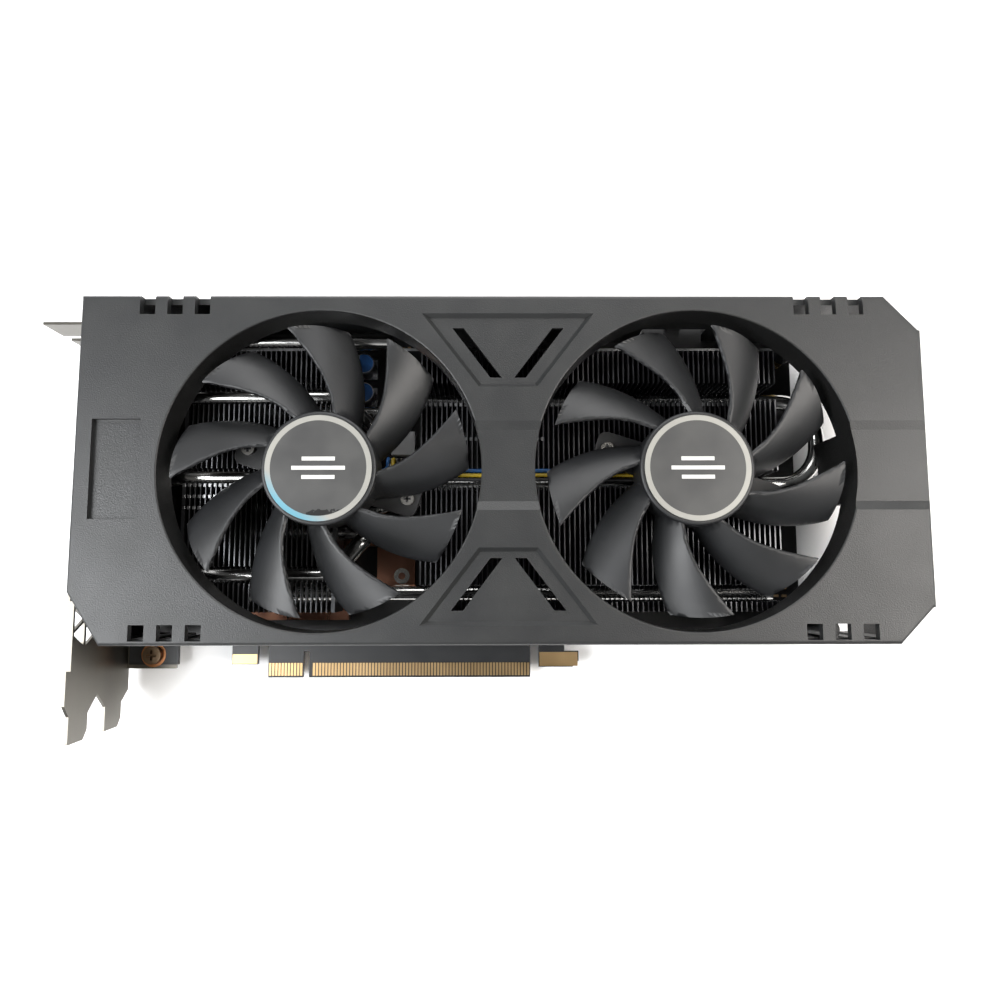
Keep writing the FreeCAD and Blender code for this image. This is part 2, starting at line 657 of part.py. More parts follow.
def upright_screw(name, x, y, head_z, shank, head_radius, head_height, shank_radius, down):
    """A pan-head screw with a cross recess; down is true when the head is on top."""
    head = cylinder(name + "_head", str(head_radius), str(head_height), x, y,
                    head_z if down else "(%s) - %s" % (head_z, head_height))
    stem = cylinder(name + "_stem", str(shank_radius), shank, x, y,
                    "(%s) - (%s)" % (head_z, shank) if down else head_z)
    depth = head_height * 0.6
    reach, wide = head_radius * 1.1, head_radius * 0.26
    top = "(%s) + %s" % (head_z, head_height - depth if down else -head_height)
    recess = [box(name + "_recess", str(reach), str(wide), str(depth), "(%s) - %s" % (x, reach / 2),
                  "(%s) - %s" % (y, wide / 2), top),
              box(name + "_recess", str(wide), str(reach), str(depth), "(%s) - %s" % (x, wide / 2),
                  "(%s) - %s" % (y, reach / 2), top)]
    return cut(name, fuse(name + "_blank", head, stem), *recess)


def make_fixings():
    """Screws, springs and the back plate."""
    behind = "-board_thick"
    plate_low = "-board_thick - 1.6"
    arms = []
    for turn in (45, 135):
        arm = box("plate_arm", "fixing_span * sqrt(2) + 9", "7", "1", "0", "0", plate_low)
        angle = math.radians(turn)
        across = (math.cos(angle), math.sin(angle))
        back_x = "chip_x - (fixing_span * sqrt(2) + 9) / 2 * %.6f + 3.5 * %.6f" % across
        back_y = "chip_y - (fixing_span * sqrt(2) + 9) / 2 * %.6f - 3.5 * %.6f" % (across[1], across[0])
        arms.append(place(arm, back_x, back_y, plate_low, turn))
    middle = box("plate_middle", "24", "24", "1", "chip_x - 12", "chip_y - 12", plate_low)
    window = box("plate_window", "14", "14", "1", "chip_x - 7", "chip_y - 7", plate_low)
    holes = [cylinder("plate_hole", "1.5", "1", x, y, plate_low) for x, y in FIXINGS]
    node("retention_plate", cut("retention_plate", fuse("plate_cross", *(arms + [middle])), *(holes + [window])))
    springs, screws = [], []
    head_z = "-board_thick - 2.8"
    for x, y in FIXINGS:
        springs.append(tube("spring", "2.3", "1.5", "1.2", x, y, head_z))
        screws.append(upright_screw("fixing", x, y, head_z, "2.8 + board_thick + chip_thick + die_thick + 2.4",
                                    2.6, 1.4, 1.2, False))
    node("retention_springs", group("retention_springs", *springs))
    node("retention_screws", group("retention_screws", *screws))
    posts, back_screws = [], []
    for x, y in COOLER_HOLES:
        posts.append(tube("standoff", "2.6", "1.0", "standoff_height", x, y, "0"))
        back_screws.append(upright_screw("cooler_screw", x, y, behind, "board_thick + standoff_height + 5",
                                         2.4, 1.8, 0.97, False))
    node("standoffs", group("standoffs", *posts))
    node("cooler_screws", group("cooler_screws", *back_screws))
    cover_screws = []
    for x, y in COVER_POSTS:
        cover_screws.append(upright_screw("cover_screw", x, y, "fin_top - 3", "3 + 6", 2.2, 1.3, 0.97, False))
    node("shroud_screws", group("shroud_screws", *cover_screws))
    frame_screws = []
    for side, x, y in frame_lugs():
        frame_screws.append(upright_screw("frame_screw", x, y, FRAME_TOP, "frame_thick + frame_lift + 2.6",
                                          1.9, 1.1, 0.97, True))
    node("fan_frame_screws", group("fan_frame_screws", *frame_screws))
    bracket_screws = []
    for x, y in BRACKET_HOLES:
        bracket_screws.append(upright_screw("bracket_screw", x, y, "0", "board_thick + bracket_thick + 0.6",
                                            2.9, 1.7, 1.3, True))
    node("bracket_screws", group("bracket_screws", *bracket_screws))


# ---------------------------------------------------------------- fans
BLADE_STATIONS = [
    # share of the tip radius, then leading edge, trailing edge and depth as shares of it
    (0.30, -0.076, -0.190, 1.00),
    (0.44, -0.030, -0.195, 1.00),
    (0.58, 0.028, -0.190, 0.97),
    (0.72, 0.124, -0.165, 0.92),
    (0.87, 0.262, -0.115, 0.85),
    (1.02, 0.425, -0.030, 0.74),
]


def blade_section(body, station):
    """One curved section of a blade, across its radius."""
    share, lead, trail, deep = station
    sketch = sketch_on(body, "blade_section", "%s * %s" % (BLADE_REACH, share), "YZ_Plane")
    lead_y, trail_y = "%s * %s" % (BLADE_REACH, lead), "%s * %s" % (BLADE_REACH, trail)
    drop = "blade_drop * %s" % deep
    high = "-blade_top"
    low = "-blade_top - %s" % drop
    across = "%s * %s" % (BLADE_REACH, round(lead - trail, 4))
    chord = "sqrt((%s)^2 + (%s)^2)" % (across, drop)
    step_y = "blade_thick * (%s) / %s" % (drop, chord)
    step_z = "blade_thick * (%s) / %s" % (across, chord)
    corners = [(trail_y, low), (lead_y, high), ("%s - %s" % (lead_y, step_y), "%s + %s" % (high, step_z)),
               ("%s - %s" % (trail_y, step_y), "%s + %s" % (low, step_z))]
    spots = [Vector(number(y), number(z), 0) for y, z in corners]
    bulge = number(chord) * 0.1
    lean = Vector(-number(drop), number(across), 0).normalize() * bulge
    lower = Part.Arc(spots[0], (spots[0] + spots[1]) / 2 + lean, spots[1])
    upper = Part.Arc(spots[2], (spots[2] + spots[3]) / 2 + lean, spots[3])
    for piece in (lower, Part.LineSegment(spots[1], spots[2]), upper, Part.LineSegment(spots[3], spots[0])):
        sketch.addGeometry(piece, False)
    return sketch


def make_rotor(side, axis):
    """Hub cup with nine swept blades."""
    rotor = body_of("rotor_body_" + side)
    hub = sketch_on(rotor, "hub_outline")
    draw_circle(hub, "0", "0", "hub_radius")
    top = pad(rotor, hub, "hub_height", down=True)
    round_edges(rotor, top, "0.8",
                lambda edge: abs(edge.BoundBox.ZMax) < 0.01 and abs(edge.BoundBox.ZMin) < 0.01)
    sections = [blade_section(rotor, station) for station in BLADE_STATIONS]
    blade = rotor.newObject("PartDesign::AdditiveLoft", "blade")
    blade.Profile = sections[0]
    blade.Sections = sections[1:]
    blade.Ruled = False
    ring = rotor.newObject("PartDesign::PolarPattern", "blades")
    ring.Originals = [blade]
    ring.Axis = ([f for f in rotor.Origin.OriginFeatures if f.Role == "Z_Axis"][0], [""])
    ring.Angle = 360
    ring.Occurrences = 9
    rotor.Tip = ring
    doc.recompute()
    trim = sketch_on(rotor, "tip_trim", "5")
    draw_circle(trim, "0", "0", BLADE_REACH)
    draw_circle(trim, "0", "0", BLADE_REACH + " * 1.3")
    pocket(rotor, trim, "hub_height + 10")
    cup = sketch_on(rotor, "cup", "-hub_height")
    draw_circle(cup, "0", "0", "hub_radius - hub_wall")
    pocket(rotor, cup, "hub_height - hub_wall", up=True)
    seat = sketch_on(rotor, "shaft_seat", "-hub_wall")
    draw_circle(seat, "0", "0", "shaft_radius")
    pocket(rotor, seat, "hub_wall / 2", up=True)
    turned = BLADE_PHASE[side] - 20
    place(rotor, axis, "fan_y", HUB_TOP, turned)
    node("rotor_" + side, rotor)


def make_fan(side, axis):
    """One fan: rotor and its inner parts, and the fixed frame, stator and sleeve."""
    make_rotor(side, axis)
    inner = "hub_radius - hub_wall"
    yoke_top = "(%s) - hub_wall" % HUB_TOP
    yoke_low = "(%s) + 1.2" % HUB_LOW
    shell = cylinder("yoke_shell", inner, "(%s) - (%s)" % (yoke_top, yoke_low), axis, "fan_y", yoke_low)
    hollow = cylinder("yoke_hollow", inner + " - 0.8", "(%s) - (%s) - 0.8" % (yoke_top, yoke_low),
                      axis, "fan_y", yoke_low)
    middle = cylinder("yoke_middle", "shaft_radius", "2", axis, "fan_y", "(%s) - 1" % yoke_top)
    node("yoke_" + side, cut("yoke_" + side, shell, hollow, middle))
    node("magnet_" + side, tube("magnet_" + side, inner + " - 0.8", inner + " - 2.4", "5.5",
                                axis, "fan_y", "(%s) + 1.6" % HUB_LOW))
    node("shaft_" + side, cylinder("shaft_" + side, "shaft_radius",
                                   "(%s) - hub_wall / 2 - (%s) - 0.6" % (HUB_TOP, FRAME_TOP),
                                   axis, "fan_y", "(%s) + 0.6" % FRAME_TOP))
    node("hub_label_" + side, cylinder("hub_label_" + side, "label_radius", "label_thick",
                                       axis, "fan_y", HUB_TOP))
    make_frame(side, axis)
    sleeve_height = "(%s) - hub_wall - 1.5 - (%s)" % (HUB_TOP, FRAME_TOP)
    make_stator(side, axis)
    board = tube("motor_disc", "frame_radius - 2.4", "sleeve_radius + tube_wall", "0.8", axis, "fan_y",
                 "(%s) + 0.5" % FRAME_TOP)
    return board, tube("sleeve_" + side, "sleeve_radius", "shaft_radius + running_gap", sleeve_height,
                axis, "fan_y", FRAME_TOP)


def make_frame(side, axis):
    """Fan frame: disc, two arms with screw lugs, feet and the bearing tube."""
    frame = body_of("frame_body_" + side)
    plan = sketch_on(frame, "frame_disc")
    draw_circle(plan, "0", "0", "frame_radius")
    pad(frame, plan, "frame_thick")
    arms = sketch_on(frame, "frame_arms")
    draw_rectangle(arms, "-arm_reach - 3.5", "-arm_width / 2", "2 * arm_reach + 7", "arm_width")
    base = pad(frame, arms, "frame_thick")
    reach = number("arm_reach") + 3
    round_edges(frame, base, "2.6", lambda edge: abs(edge.BoundBox.XMax) > reach - 1 and
                abs(edge.BoundBox.XMin) > reach - 1 and edge.BoundBox.ZLength > 1 and edge.Length < 4)
    feet = sketch_on(frame, "frame_feet")
    for x in ("-arm_reach", "arm_reach"):
        draw_circle(feet, x, "0", "3.2")
    pad(frame, feet, "frame_lift", down=True)
    stem = sketch_on(frame, "frame_tube", "frame_thick")
    draw_circle(stem, "0", "0", "sleeve_radius + tube_wall")
    pad(frame, stem, "(%s) - hub_wall - 2.6 - (%s)" % (HUB_TOP, FRAME_TOP))
    bore = sketch_on(frame, "frame_bore", "frame_thick")
    draw_circle(bore, "0", "0", "sleeve_radius")
    pocket(frame, bore, "30", up=True)
    holes = sketch_on(frame, "frame_holes", "-frame_lift")
    for x in ("-arm_reach", "arm_reach"):
        draw_circle(holes, x, "0", "1.15")
    pocket(frame, holes, "frame_lift + frame_thick", up=True)
    place(frame, axis, "fan_y", FRAME_LOW, -size("arm_angle"))
    way = "+" if side == "left" else "-"
    slot = box("lead_slot", "1.6", "5", "frame_thick", "%s %s 8 - 0.8" % (axis, way), "fan_y - 2.2", FRAME_LOW)
    node("fan_frame_" + side, cut("fan_frame_" + side, frame, slot))


def make_stator(side, axis):
    """Four-pole iron core with its windings."""
    core_low = "(%s) + 2.6" % FRAME_TOP
    inner = "sleeve_radius + tube_wall"
    reach = size("hub_radius") - size("hub_wall") - 3.3
    parts = [tube("core_ring", inner + " + 1.6", inner, "4", axis, "fan_y", core_low)]
    coils = []
    for turn in range(0, 360, 90):
        angle = math.radians(turn)
        along = Vector(math.cos(angle), math.sin(angle), 0)
        side_way = Vector(-math.sin(angle), math.cos(angle), 0)
        start = along * (number(inner) + 1.2) - side_way * 1.5
        pole = box("pole", str(reach - number(inner) - 1.8), "3", "4", "0", "0", core_low)
        place(pole, "%s + %.5f" % (axis, start.x), "fan_y + %.5f" % start.y, core_low, turn)
        shoe_at = along * (reach - 1.4) - side_way * 3.6
        shoe = box("pole_shoe", "1.2", "7.2", "4", "0", "0", core_low)
        place(shoe, "%s + %.5f" % (axis, shoe_at.x), "fan_y + %.5f" % shoe_at.y, core_low, turn)
        parts += [pole, shoe]
        coil_at = along * (number(inner) + 2.2) - side_way * 2.7
        coil = box("coil", str(reach - number(inner) - 4.0), "5.4", "5.6", "0", "0", core_low + " - 0.8")
        place(coil, "%s + %.5f" % (axis, coil_at.x), "fan_y + %.5f" % coil_at.y, core_low + " - 0.8", turn)
        coils.append(coil)
    core = fuse("core_" + side, *parts)
    node("stator_" + side, group("stator_" + side, core, cut("windings_" + side, group("coils", *coils), core)))


def make_fans():
    """Both fans and their bearing sleeves."""
    boards, sleeves = zip(*[make_fan(side, axis) for side, axis in FANS.items()])
    node("motor_boards", group("motor_boards", *boards))
    node("bearing_sleeves", group("bearing_sleeves", *sleeves))


# ---------------------------------------------------------------- cover
def cover_outline(inset):
    """The cover's outline, moved in by a wall."""
    east, west = "cover_right - (%s)" % inset, "-cover_left + (%s)" % inset
    south, north = "cover_low + (%s)" % inset, "cover_high - (%s)" % inset
    bevel = "(%s) * 0.414" % inset
    return [
        (west, north), (west, "cover_low + cut_left_y + " + bevel),
        ("-cover_left + cut_left_x + %s" % bevel, south),
        ("cover_right - cut_right - %s" % bevel, south),
        (east + " - cut_step", "cover_low + cut_right - 0.3 + " + bevel),
        (east, "cover_low + cut_right + " + bevel),
        (east, "cover_high - cut_right - " + bevel),
        (east + " - cut_step", "cover_high - cut_right + 0.3 - " + bevel),
        ("cover_right - cut_right - %s" % bevel, north),
    ]


def panel_points(top):
    """A sunk panel between the fans: the long side is at the cover's edge."""
    middle = "(fan_left_x + fan_right_x) / 2"
    if top:
        outer, inner = "cover_high - panel_outer", "cover_high - panel_outer - panel_height"
    else:
        outer, inner = "cover_low + panel_outer", "cover_low + panel_outer + panel_height"
    return [(middle + " - panel_long / 2", outer), (middle + " + panel_long / 2", outer),
            (middle + " + panel_short / 2", inner), (middle + " - panel_short / 2", inner)]


def slot_points(top, way):
    """One slanted slot in a panel, on the side that way gives."""
    middle = "(fan_left_x + fan_right_x) / 2"
    if top:
        near = "cover_high - panel_outer - panel_height + slot_inset"
        far = near + " + slot_height"
    else:
        near = "cover_low + panel_outer + panel_height - slot_inset"
        far = near + " - slot_height"
    inside = "%s %s slot_apart / 2" % (middle, way)
    outside = "%s %s (slot_apart / 2 + slot_width)" % (middle, way)
    return [(inside, near), (outside, near),
            ("%s %s slot_lean" % (outside, way), far), ("%s %s slot_lean" % (inside, way), far)]


def vent_starts():
    """Low X of each vent opening, for the top and lower edges."""
    top, low = [], []
    for index in range(3):
        top.append("-cover_left + vent_top_left + %d * vent_pitch" % index)
        low.append("-cover_left + vent_low_left + %d * vent_pitch" % index)
        for row in (top, low):
            row.append("cover_right - vent_right - vent_width - %d * vent_pitch" % index)
    return top, low


def make_cover():
    """The moulded cover over the fans and fins."""
    cover = body_of("cover")
    outline = sketch_on(cover, "cover_outline", "cover_rim")
    draw_polygon(outline, cover_outline("0"))
    block_pad = pad(cover, outline, "cover_front - cover_rim")
    front = size("cover_front")
    round_edges(cover, block_pad, "cover_round",
                lambda edge: edge.BoundBox.ZMin > front - 0.01)
    inside = sketch_on(cover, "cover_inside", "cover_rim")
    draw_polygon(inside, cover_outline("cover_wall"))
    pocket(cover, inside, "cover_front - cover_rim - cover_skin", up=True)
    rings = sketch_on(cover, "fan_rings", "cover_front - ring_depth")
    for axis in FANS.values():
        draw_circle(rings, axis, "fan_y", "ring_radius + ring_wall")
    pad(cover, rings, "ring_depth - 0.5")
    posts = sketch_on(cover, "cover_posts", "fin_top")
    for x, y in COVER_POSTS:
        draw_circle(posts, x, y, "3")
    pad(cover, posts, "cover_front - cover_skin / 2 - fin_top")
    tails = sketch_on(cover, "tail_posts", "standoff_height")
    for x, y in COOLER_HOLES:
        draw_circle(tails, x, y, "3")
    pad(cover, tails, "cover_front - cover_skin / 2 - standoff_height")
    opened = sketch_on(cover, "fan_openings", "cover_front + 1")
    for axis in FANS.values():
        draw_circle(opened, axis, "fan_y", "ring_radius")
    pocket(cover, opened, "ring_depth + 4")
    pilots = sketch_on(cover, "post_pilots", "fin_top")
    for x, y in COVER_POSTS:
        draw_circle(pilots, x, y, "1.0")
    pocket(cover, pilots, "6.4", up=True)
    tail_pilots = sketch_on(cover, "tail_pilots", "standoff_height")
    for x, y in COOLER_HOLES:
        draw_circle(tail_pilots, x, y, "1.0")
    bored = pocket(cover, tail_pilots, "6.4", up=True)
    round_edges(cover, bored, "0.5", lambda edge: edge.BoundBox.ZMin > front - 0.01 and
                abs(edge.BoundBox.XLength - 2 * size("ring_radius")) < 0.1)
    band = sketch_on(cover, "sunk_band", "fan_left_x + ring_radius / 2", "YZ_Plane")
    floor, over = "cover_front - band_depth", "cover_front + 1"
    low_slope, high_slope = "band_low - band_slope", "band_high + band_slope"
    draw_polygon(band, [("band_low", floor), ("band_high", floor), (high_slope, "cover_front"),
                        (high_slope, over), (low_slope, over), (low_slope, "cover_front")])
    pocket(cover, band, "cover_right - fan_left_x", up=True)
    for top in (True, False):
        panel = sketch_on(cover, "sunk_panel", "cover_front")
        draw_polygon(panel, panel_points(top))
        sunk = pocket(cover, panel, "panel_depth")
        sunk.TaperAngle = -math.degrees(math.atan(size("panel_slope") / size("panel_depth")))
        for way in "-+":
            slot = sketch_on(cover, "slanted_slot", "cover_front")
            draw_polygon(slot, slot_points(top, way))
            pocket(cover, slot, "cover_skin + 1")
    name_plate = sketch_on(cover, "name_plate", "cover_front")
    draw_rectangle(name_plate, "-cover_left + plate_inset", "fan_y - plate_height / 2",
                   "plate_width", "plate_height")
    pocket(cover, name_plate, "plate_depth")
    vents = sketch_on(cover, "edge_vents", "cover_front")
    top_row, low_row = vent_starts()
    for x in top_row:
        draw_rectangle(vents, x, "cover_high - vent_depth", "vent_width", "vent_depth + 1")
    for x in low_row:
        draw_rectangle(vents, x, "cover_low + vent_rim", "vent_width", "vent_depth - vent_rim")
    pocket(cover, vents, "vent_drop")
    sides = sketch_on(cover, "side_vents", "cover_rim")
    for x in low_row:
        draw_rectangle(sides, x, "cover_low - 1", "vent_width", "cover_wall + 1.2")
    pocket(cover, sides, "cover_front - cover_rim - vent_bar", up=True)
    skirt = box("top_skirt", "cover_right + cover_left - 42", "cover_wall", "cover_rim - skirt_low + 0.5",
                "-cover_left + 18", "cover_high - cover_wall", "skirt_low")
    deep_high = "cover_front - ring_depth + 1"
    ring = tube("deep_ring", "ring_radius + ring_wall", "ring_radius", deep_high + " - deep_wall_low",
                "fan_right_x", "fan_y", "deep_wall_low")
    span = "2 * ring_radius + 2 * ring_wall + 2"
    corner_x, corner_y = "fan_right_x - ring_radius - ring_wall - 1", "fan_y - ring_radius - ring_wall - 1"
    beside = box("deep_beside", "ring_radius + ring_wall + 1", span, "cover_front", corner_x, corner_y, "0")
    below = box("deep_below", span, "band_low - (%s)" % corner_y, "cover_front", corner_x, corner_y, "0")
    above = box("deep_above", span, span, "cover_front", corner_x, "band_high", "0")
    deep_wall = cut("deep_wall", ring, beside, below, above)
    walls = fuse("cover_walls", cover, skirt, deep_wall)
    doorway = box("socket_doorway", "socket_width + 1.6", "6", "socket_height + 2.6 - skirt_low + 1",
                  "socket_x - 0.8", "cover_high - 4", "skirt_low - 1")
    node("shroud", cut("shroud", walls, doorway))


# ---------------------------------------------------------------- bracket and sockets
PORTS = [("wide", 15.0, 5.6, 30.0), ("tall", 16.4, 5.0, 50.0), ("tall", 16.4, 5.0, 70.0),
         ("tall", 16.4, 5.0, 90.0)]
PORT_DEPTH = 12.0
PORT_LIFT = 0.3


def make_ports():
    """Display sockets: steel shells with a tongue inside each."""
    shells, tongues = {"wide": [], "tall": []}, {"wide": [], "tall": []}
    front = "-bracket_inner - bracket_thick - 0.4"
    for kind, width, height, y in PORTS:
        low_y = "%s - %s / 2" % (y, width)
        outside = box("port_outside", str(PORT_DEPTH), str(width), str(height), front, low_y, str(PORT_LIFT))
        mouth = box("port_mouth", str(PORT_DEPTH - 1), str(width - 0.8), str(height - 0.8), front,
                    low_y + " + 0.4", str(PORT_LIFT + 0.4))
        shells[kind].append(cut("port_shell", outside, mouth))
        tongues[kind].append(box("port_tongue", str(PORT_DEPTH - 1.5), str(width - 4.6), "1.4", front + " + 0.5",
                                 low_y + " + 2.3", str(PORT_LIFT + height / 2 - 0.7)))
    node("wide_port_shell", group("wide_port_shell", *shells["wide"]))
    node("wide_port_tongue", group("wide_port_tongue", *tongues["wide"]))
    node("tall_port_shells", group("tall_port_shells", *shells["tall"]))
    node("tall_port_tongues", group("tall_port_tongues", *tongues["tall"]))


def grille_prisms():
    """Triangular vent openings of the bracket's fan-side slot."""
    low_z = size("tongue_centre") + size("slot_pitch") / 2 + 1.6
    high_z = size("bracket_near") - 2.0
    band = (high_z - low_z) / 2
    pitch, web = 8.6, 1.1
    low_y, high_y = size("cover_low") - 1.6, size("bracket_high") - 12
    x, deep = -size("bracket_inner") - size("bracket_thick") - 1, size("bracket_thick") + 2
    rows = int((high_y - low_y) / pitch)
    prisms = []
    for column in range(2):
        inner = low_z + column * band + web / 2
        outer = low_z + (column + 1) * band - web / 2
        if column == 1:
            inner, outer = outer, inner
        for row in range(rows):
            y = low_y + row * pitch
            for base, tip, shift in ((outer, inner, 0), (inner, outer, pitch / 2)):
                trio = [Vector(x, y + shift + web * 0.8, base), Vector(x, y + shift + pitch - web * 0.8, base),
                        Vector(x, y + shift + pitch / 2, tip)]
                face = Part.Face(Part.makePolygon(trio + trio[:1]))
                prisms.append(face.extrude(Vector(deep, 0, 0)))
    return prisms


def make_bracket():
    """Two-slot steel bracket: plate, tongues, folded tab, lugs, windows and vent grille."""
    tongue, pitch = "tongue_width / 2", "slot_pitch"
    near, far = "bracket_near", "-bracket_far"
    first, second = "tongue_centre", "tongue_centre + slot_pitch"
    outline = [
        (near, "bracket_high"), (near, "-3.6"), (second + " + " + tongue, "-6.8"),
        (second + " + " + tongue, "-bracket_tip + 0.4"), (second + " + " + tongue + " - 0.6", "-bracket_tip"),
        (second + " - " + tongue + " + 2", "-bracket_tip"), (second + " - " + tongue, "-bracket_tip + 2.6"),
        (second + " - " + tongue, "-7.2"), (first + " + %s / 2" % pitch, "-2.6"),
        (first + " + " + tongue, "-7.2"), (first + " + " + tongue, "-bracket_tip"),
        (first + " - " + tongue + " + 2", "-bracket_tip"), (first + " - " + tongue, "-bracket_tip + 2.6"),
        (first + " - " + tongue, "-7.2"), (far, "-4"), (far, "bracket_high"),
    ]
    # the sketch plane's first axis is Y and its second is Z
    plate = body_of("bracket_plate")
    shape = sketch_on(plate, "bracket_outline", "-bracket_inner - bracket_thick", "YZ_Plane")
    draw_polygon(shape, [(y, z) for z, y in outline])
    pad(plate, shape, "bracket_thick")
    tab = box("bracket_tab", "tab_reach + bracket_thick", "bracket_thick", "bracket_near + bracket_far",
              "-bracket_inner - bracket_thick - tab_reach", "bracket_high - bracket_thick", far)
    flange = box("bracket_flange", "2.1", "cover_low + cut_left_y - 8.6", "bracket_thick",
                 "-bracket_inner - bracket_thick", "6", "bracket_near - bracket_thick")
    lugs = [box("bracket_lug", "bracket_inner - board_left + corner_width - 1", "9", "bracket_thick",
                "-bracket_inner", "(%s) - 4.5" % y, "-board_thick - bracket_thick") for x, y in BRACKET_HOLES]
    blank = fuse("bracket_blank", plate, tab, flange, *lugs)
    tools = [cylinder("lug_tap", "1.3", "bracket_thick", x, y, "-board_thick - bracket_thick")
             for x, y in BRACKET_HOLES]
    for level in ("tongue_centre - slot_pitch / 2 + 4.8", "tongue_centre + slot_pitch / 2 + 4.8"):
        tools.append(box("tab_notch", "tab_notch", "3", "4.4", "-bracket_inner - bracket_thick - tab_reach - 0.1",
                         "bracket_high - 2", "(%s) - 2.2" % level))
    for kind, width, height, y in PORTS:
        tools.append(box("window", "bracket_thick + 2", "%s + 2 * port_gap" % width, "%s + 2 * port_gap" % height,
                         "-bracket_inner - bracket_thick - 1", "%s - %s / 2 - port_gap" % (y, width),
                         "%s - port_gap" % PORT_LIFT))
    tools.append(solid("grille", Part.makeCompound(grille_prisms())))
    node("io_bracket", cut("io_bracket", blank, *tools))


def make_power_socket():
    """Eight-way power socket at the top edge, its latch ramp and pins."""
    low_y = "board_top + socket_overhang - socket_depth"
    shell = box("socket_shell", "socket_width", "socket_depth", "socket_height", "socket_x", low_y, "0")
    latch = box("socket_latch", "5", "2.4", "1.6", "socket_x + socket_width / 2 - 2.5",
                "board_top + socket_overhang - 4.4", "socket_height")
    cells, pins, tails = [], [], []
    for column in range(4):
        for row in range(2):
            x = "socket_x + 1.1 + %d * 4.2" % column
            z = "1.0 + %d * 4.4" % row
            cells.append(box("socket_cell", "3.8", "socket_depth - 2", "3.6", x,
                             "board_top + socket_overhang - socket_depth + 2", z))
            pins.append(box("socket_pin", "0.9", "socket_depth - 5", "0.9", x + " + 1.45",
                            "board_top + socket_overhang - socket_depth + 2", z + " + 1.35"))
            tails.append(cylinder("socket_tail", "0.8", "1.3", x + " + 1.9",
                                  low_y + " + %s" % (1.6 + 4.2 * row), "-board_thick - 1.3"))
    node("power_connector", cut("power_connector", fuse("socket_blank", shell, latch), *cells))
    node("power_pins", group("power_pins", *pins))
    node("solder_tails", group("solder_tails", *tails))


def make_fan_socket():
    """Fan header and the plug pushed onto it."""
    low_x = "right_stack_start - 11.2"
    low_y = "chip_y + 3.9"
    header = box("header_block", "10.4", "4.6", "4.2", low_x, low_y, "0")
    node("fan_header", header)
    plug = box("plug_block", "10", "4.2", "5.4", low_x + " + 0.2", low_y + " + 0.2", "4.2")
    holes = []
    for index in range(6):
        holes.append(cylinder("plug_entry", "lead_radius", "2", low_x + " + %s" % (1.45 + 1.5 * index),
                              low_y + " + 2.3", "4.2 + 5.4 - 2"))
    node("fan_plug", cut("fan_plug", plug, *holes))


def make_leads():
    """Fan leads: one solid for each wire, from each motor board to the plug."""
    colours = ("black", "yellow", "blue")
    plug_x = "right_stack_start - 11.2 + 1.45"
    plug_y = "chip_y + 3.9 + 2.3"
    run_z = "fin_top + 0.2 + lead_radius"
    for index, colour in enumerate(colours):
        runs = []
        for side, axis in FANS.items():
            way = "+" if side == "left" else "-"
            y = "fan_y - 1.4 + %d * 1.4" % index
            x = plug_x + (" + %s" % (1.5 * (2 - index)) if side == "left" else " + %s" % (4.5 + 1.5 * index))
            start = "%s %s 8" % (axis, way)
            points = [(start, y, "(%s) + 0.5" % FRAME_TOP), (start, y, run_z), (x, y, run_z),
                      (x, plug_y, run_z), (x, plug_y, "4.2 + 5.4 - 2")]
            rise = number("frame_lift + frame_thick") * 0.5
            corner = min(1.2, rise)
            bend = (number(plug_y) - number(y)) * 0.45
            runs.append(solid("lead_%s_%s" % (colour, side),
                              swept(route(points, [corner, bend, bend]), size("lead_radius"))))
        node("fan_lead_" + colour, group("fan_lead_" + colour, *runs))


# ---------------------------------------------------------------- build and write
make_board()
make_contacts()
make_chips()
make_tall_parts()
make_small_parts()
pipe_channels = make_pipes()
make_cold_plate(pipe_channels)
make_stacks(pipe_channels)
make_fixings()
make_fans()
make_cover()
make_ports()
make_bracket()
make_power_socket()
make_fan_socket()
make_leads()
doc.recompute()

for thing in doc.Objects:
    if "Invalid" in thing.State or "Error" in thing.State:
        raise RuntimeError("%s (%s) failed: %s" % (thing.Name, thing.Label, thing.State))
for thing in NODES:
    if thing.Shape.isNull() or not thing.Shape.isValid():
        raise RuntimeError("sub-part %s has no valid shape" % thing.Label)

os.makedirs("parts", exist_ok=True)
for thing in NODES:
    thing.Shape.exportStep(os.path.join("parts", thing.Label + ".step"))
print("wrote", len(NODES), "sub-parts")
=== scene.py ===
"""Looks of a dual-fan graphics card, built around its fixed frame.

Lengths are metres in the frame's own axes: +X away from the slot bracket, +Y to
the top edge of the board, +Z towards the fans.  The card lies on its back.
"""

import logging
import math
from dataclasses import dataclass, field
from enum import Enum

import bpy
from mathutils import Matrix, Vector


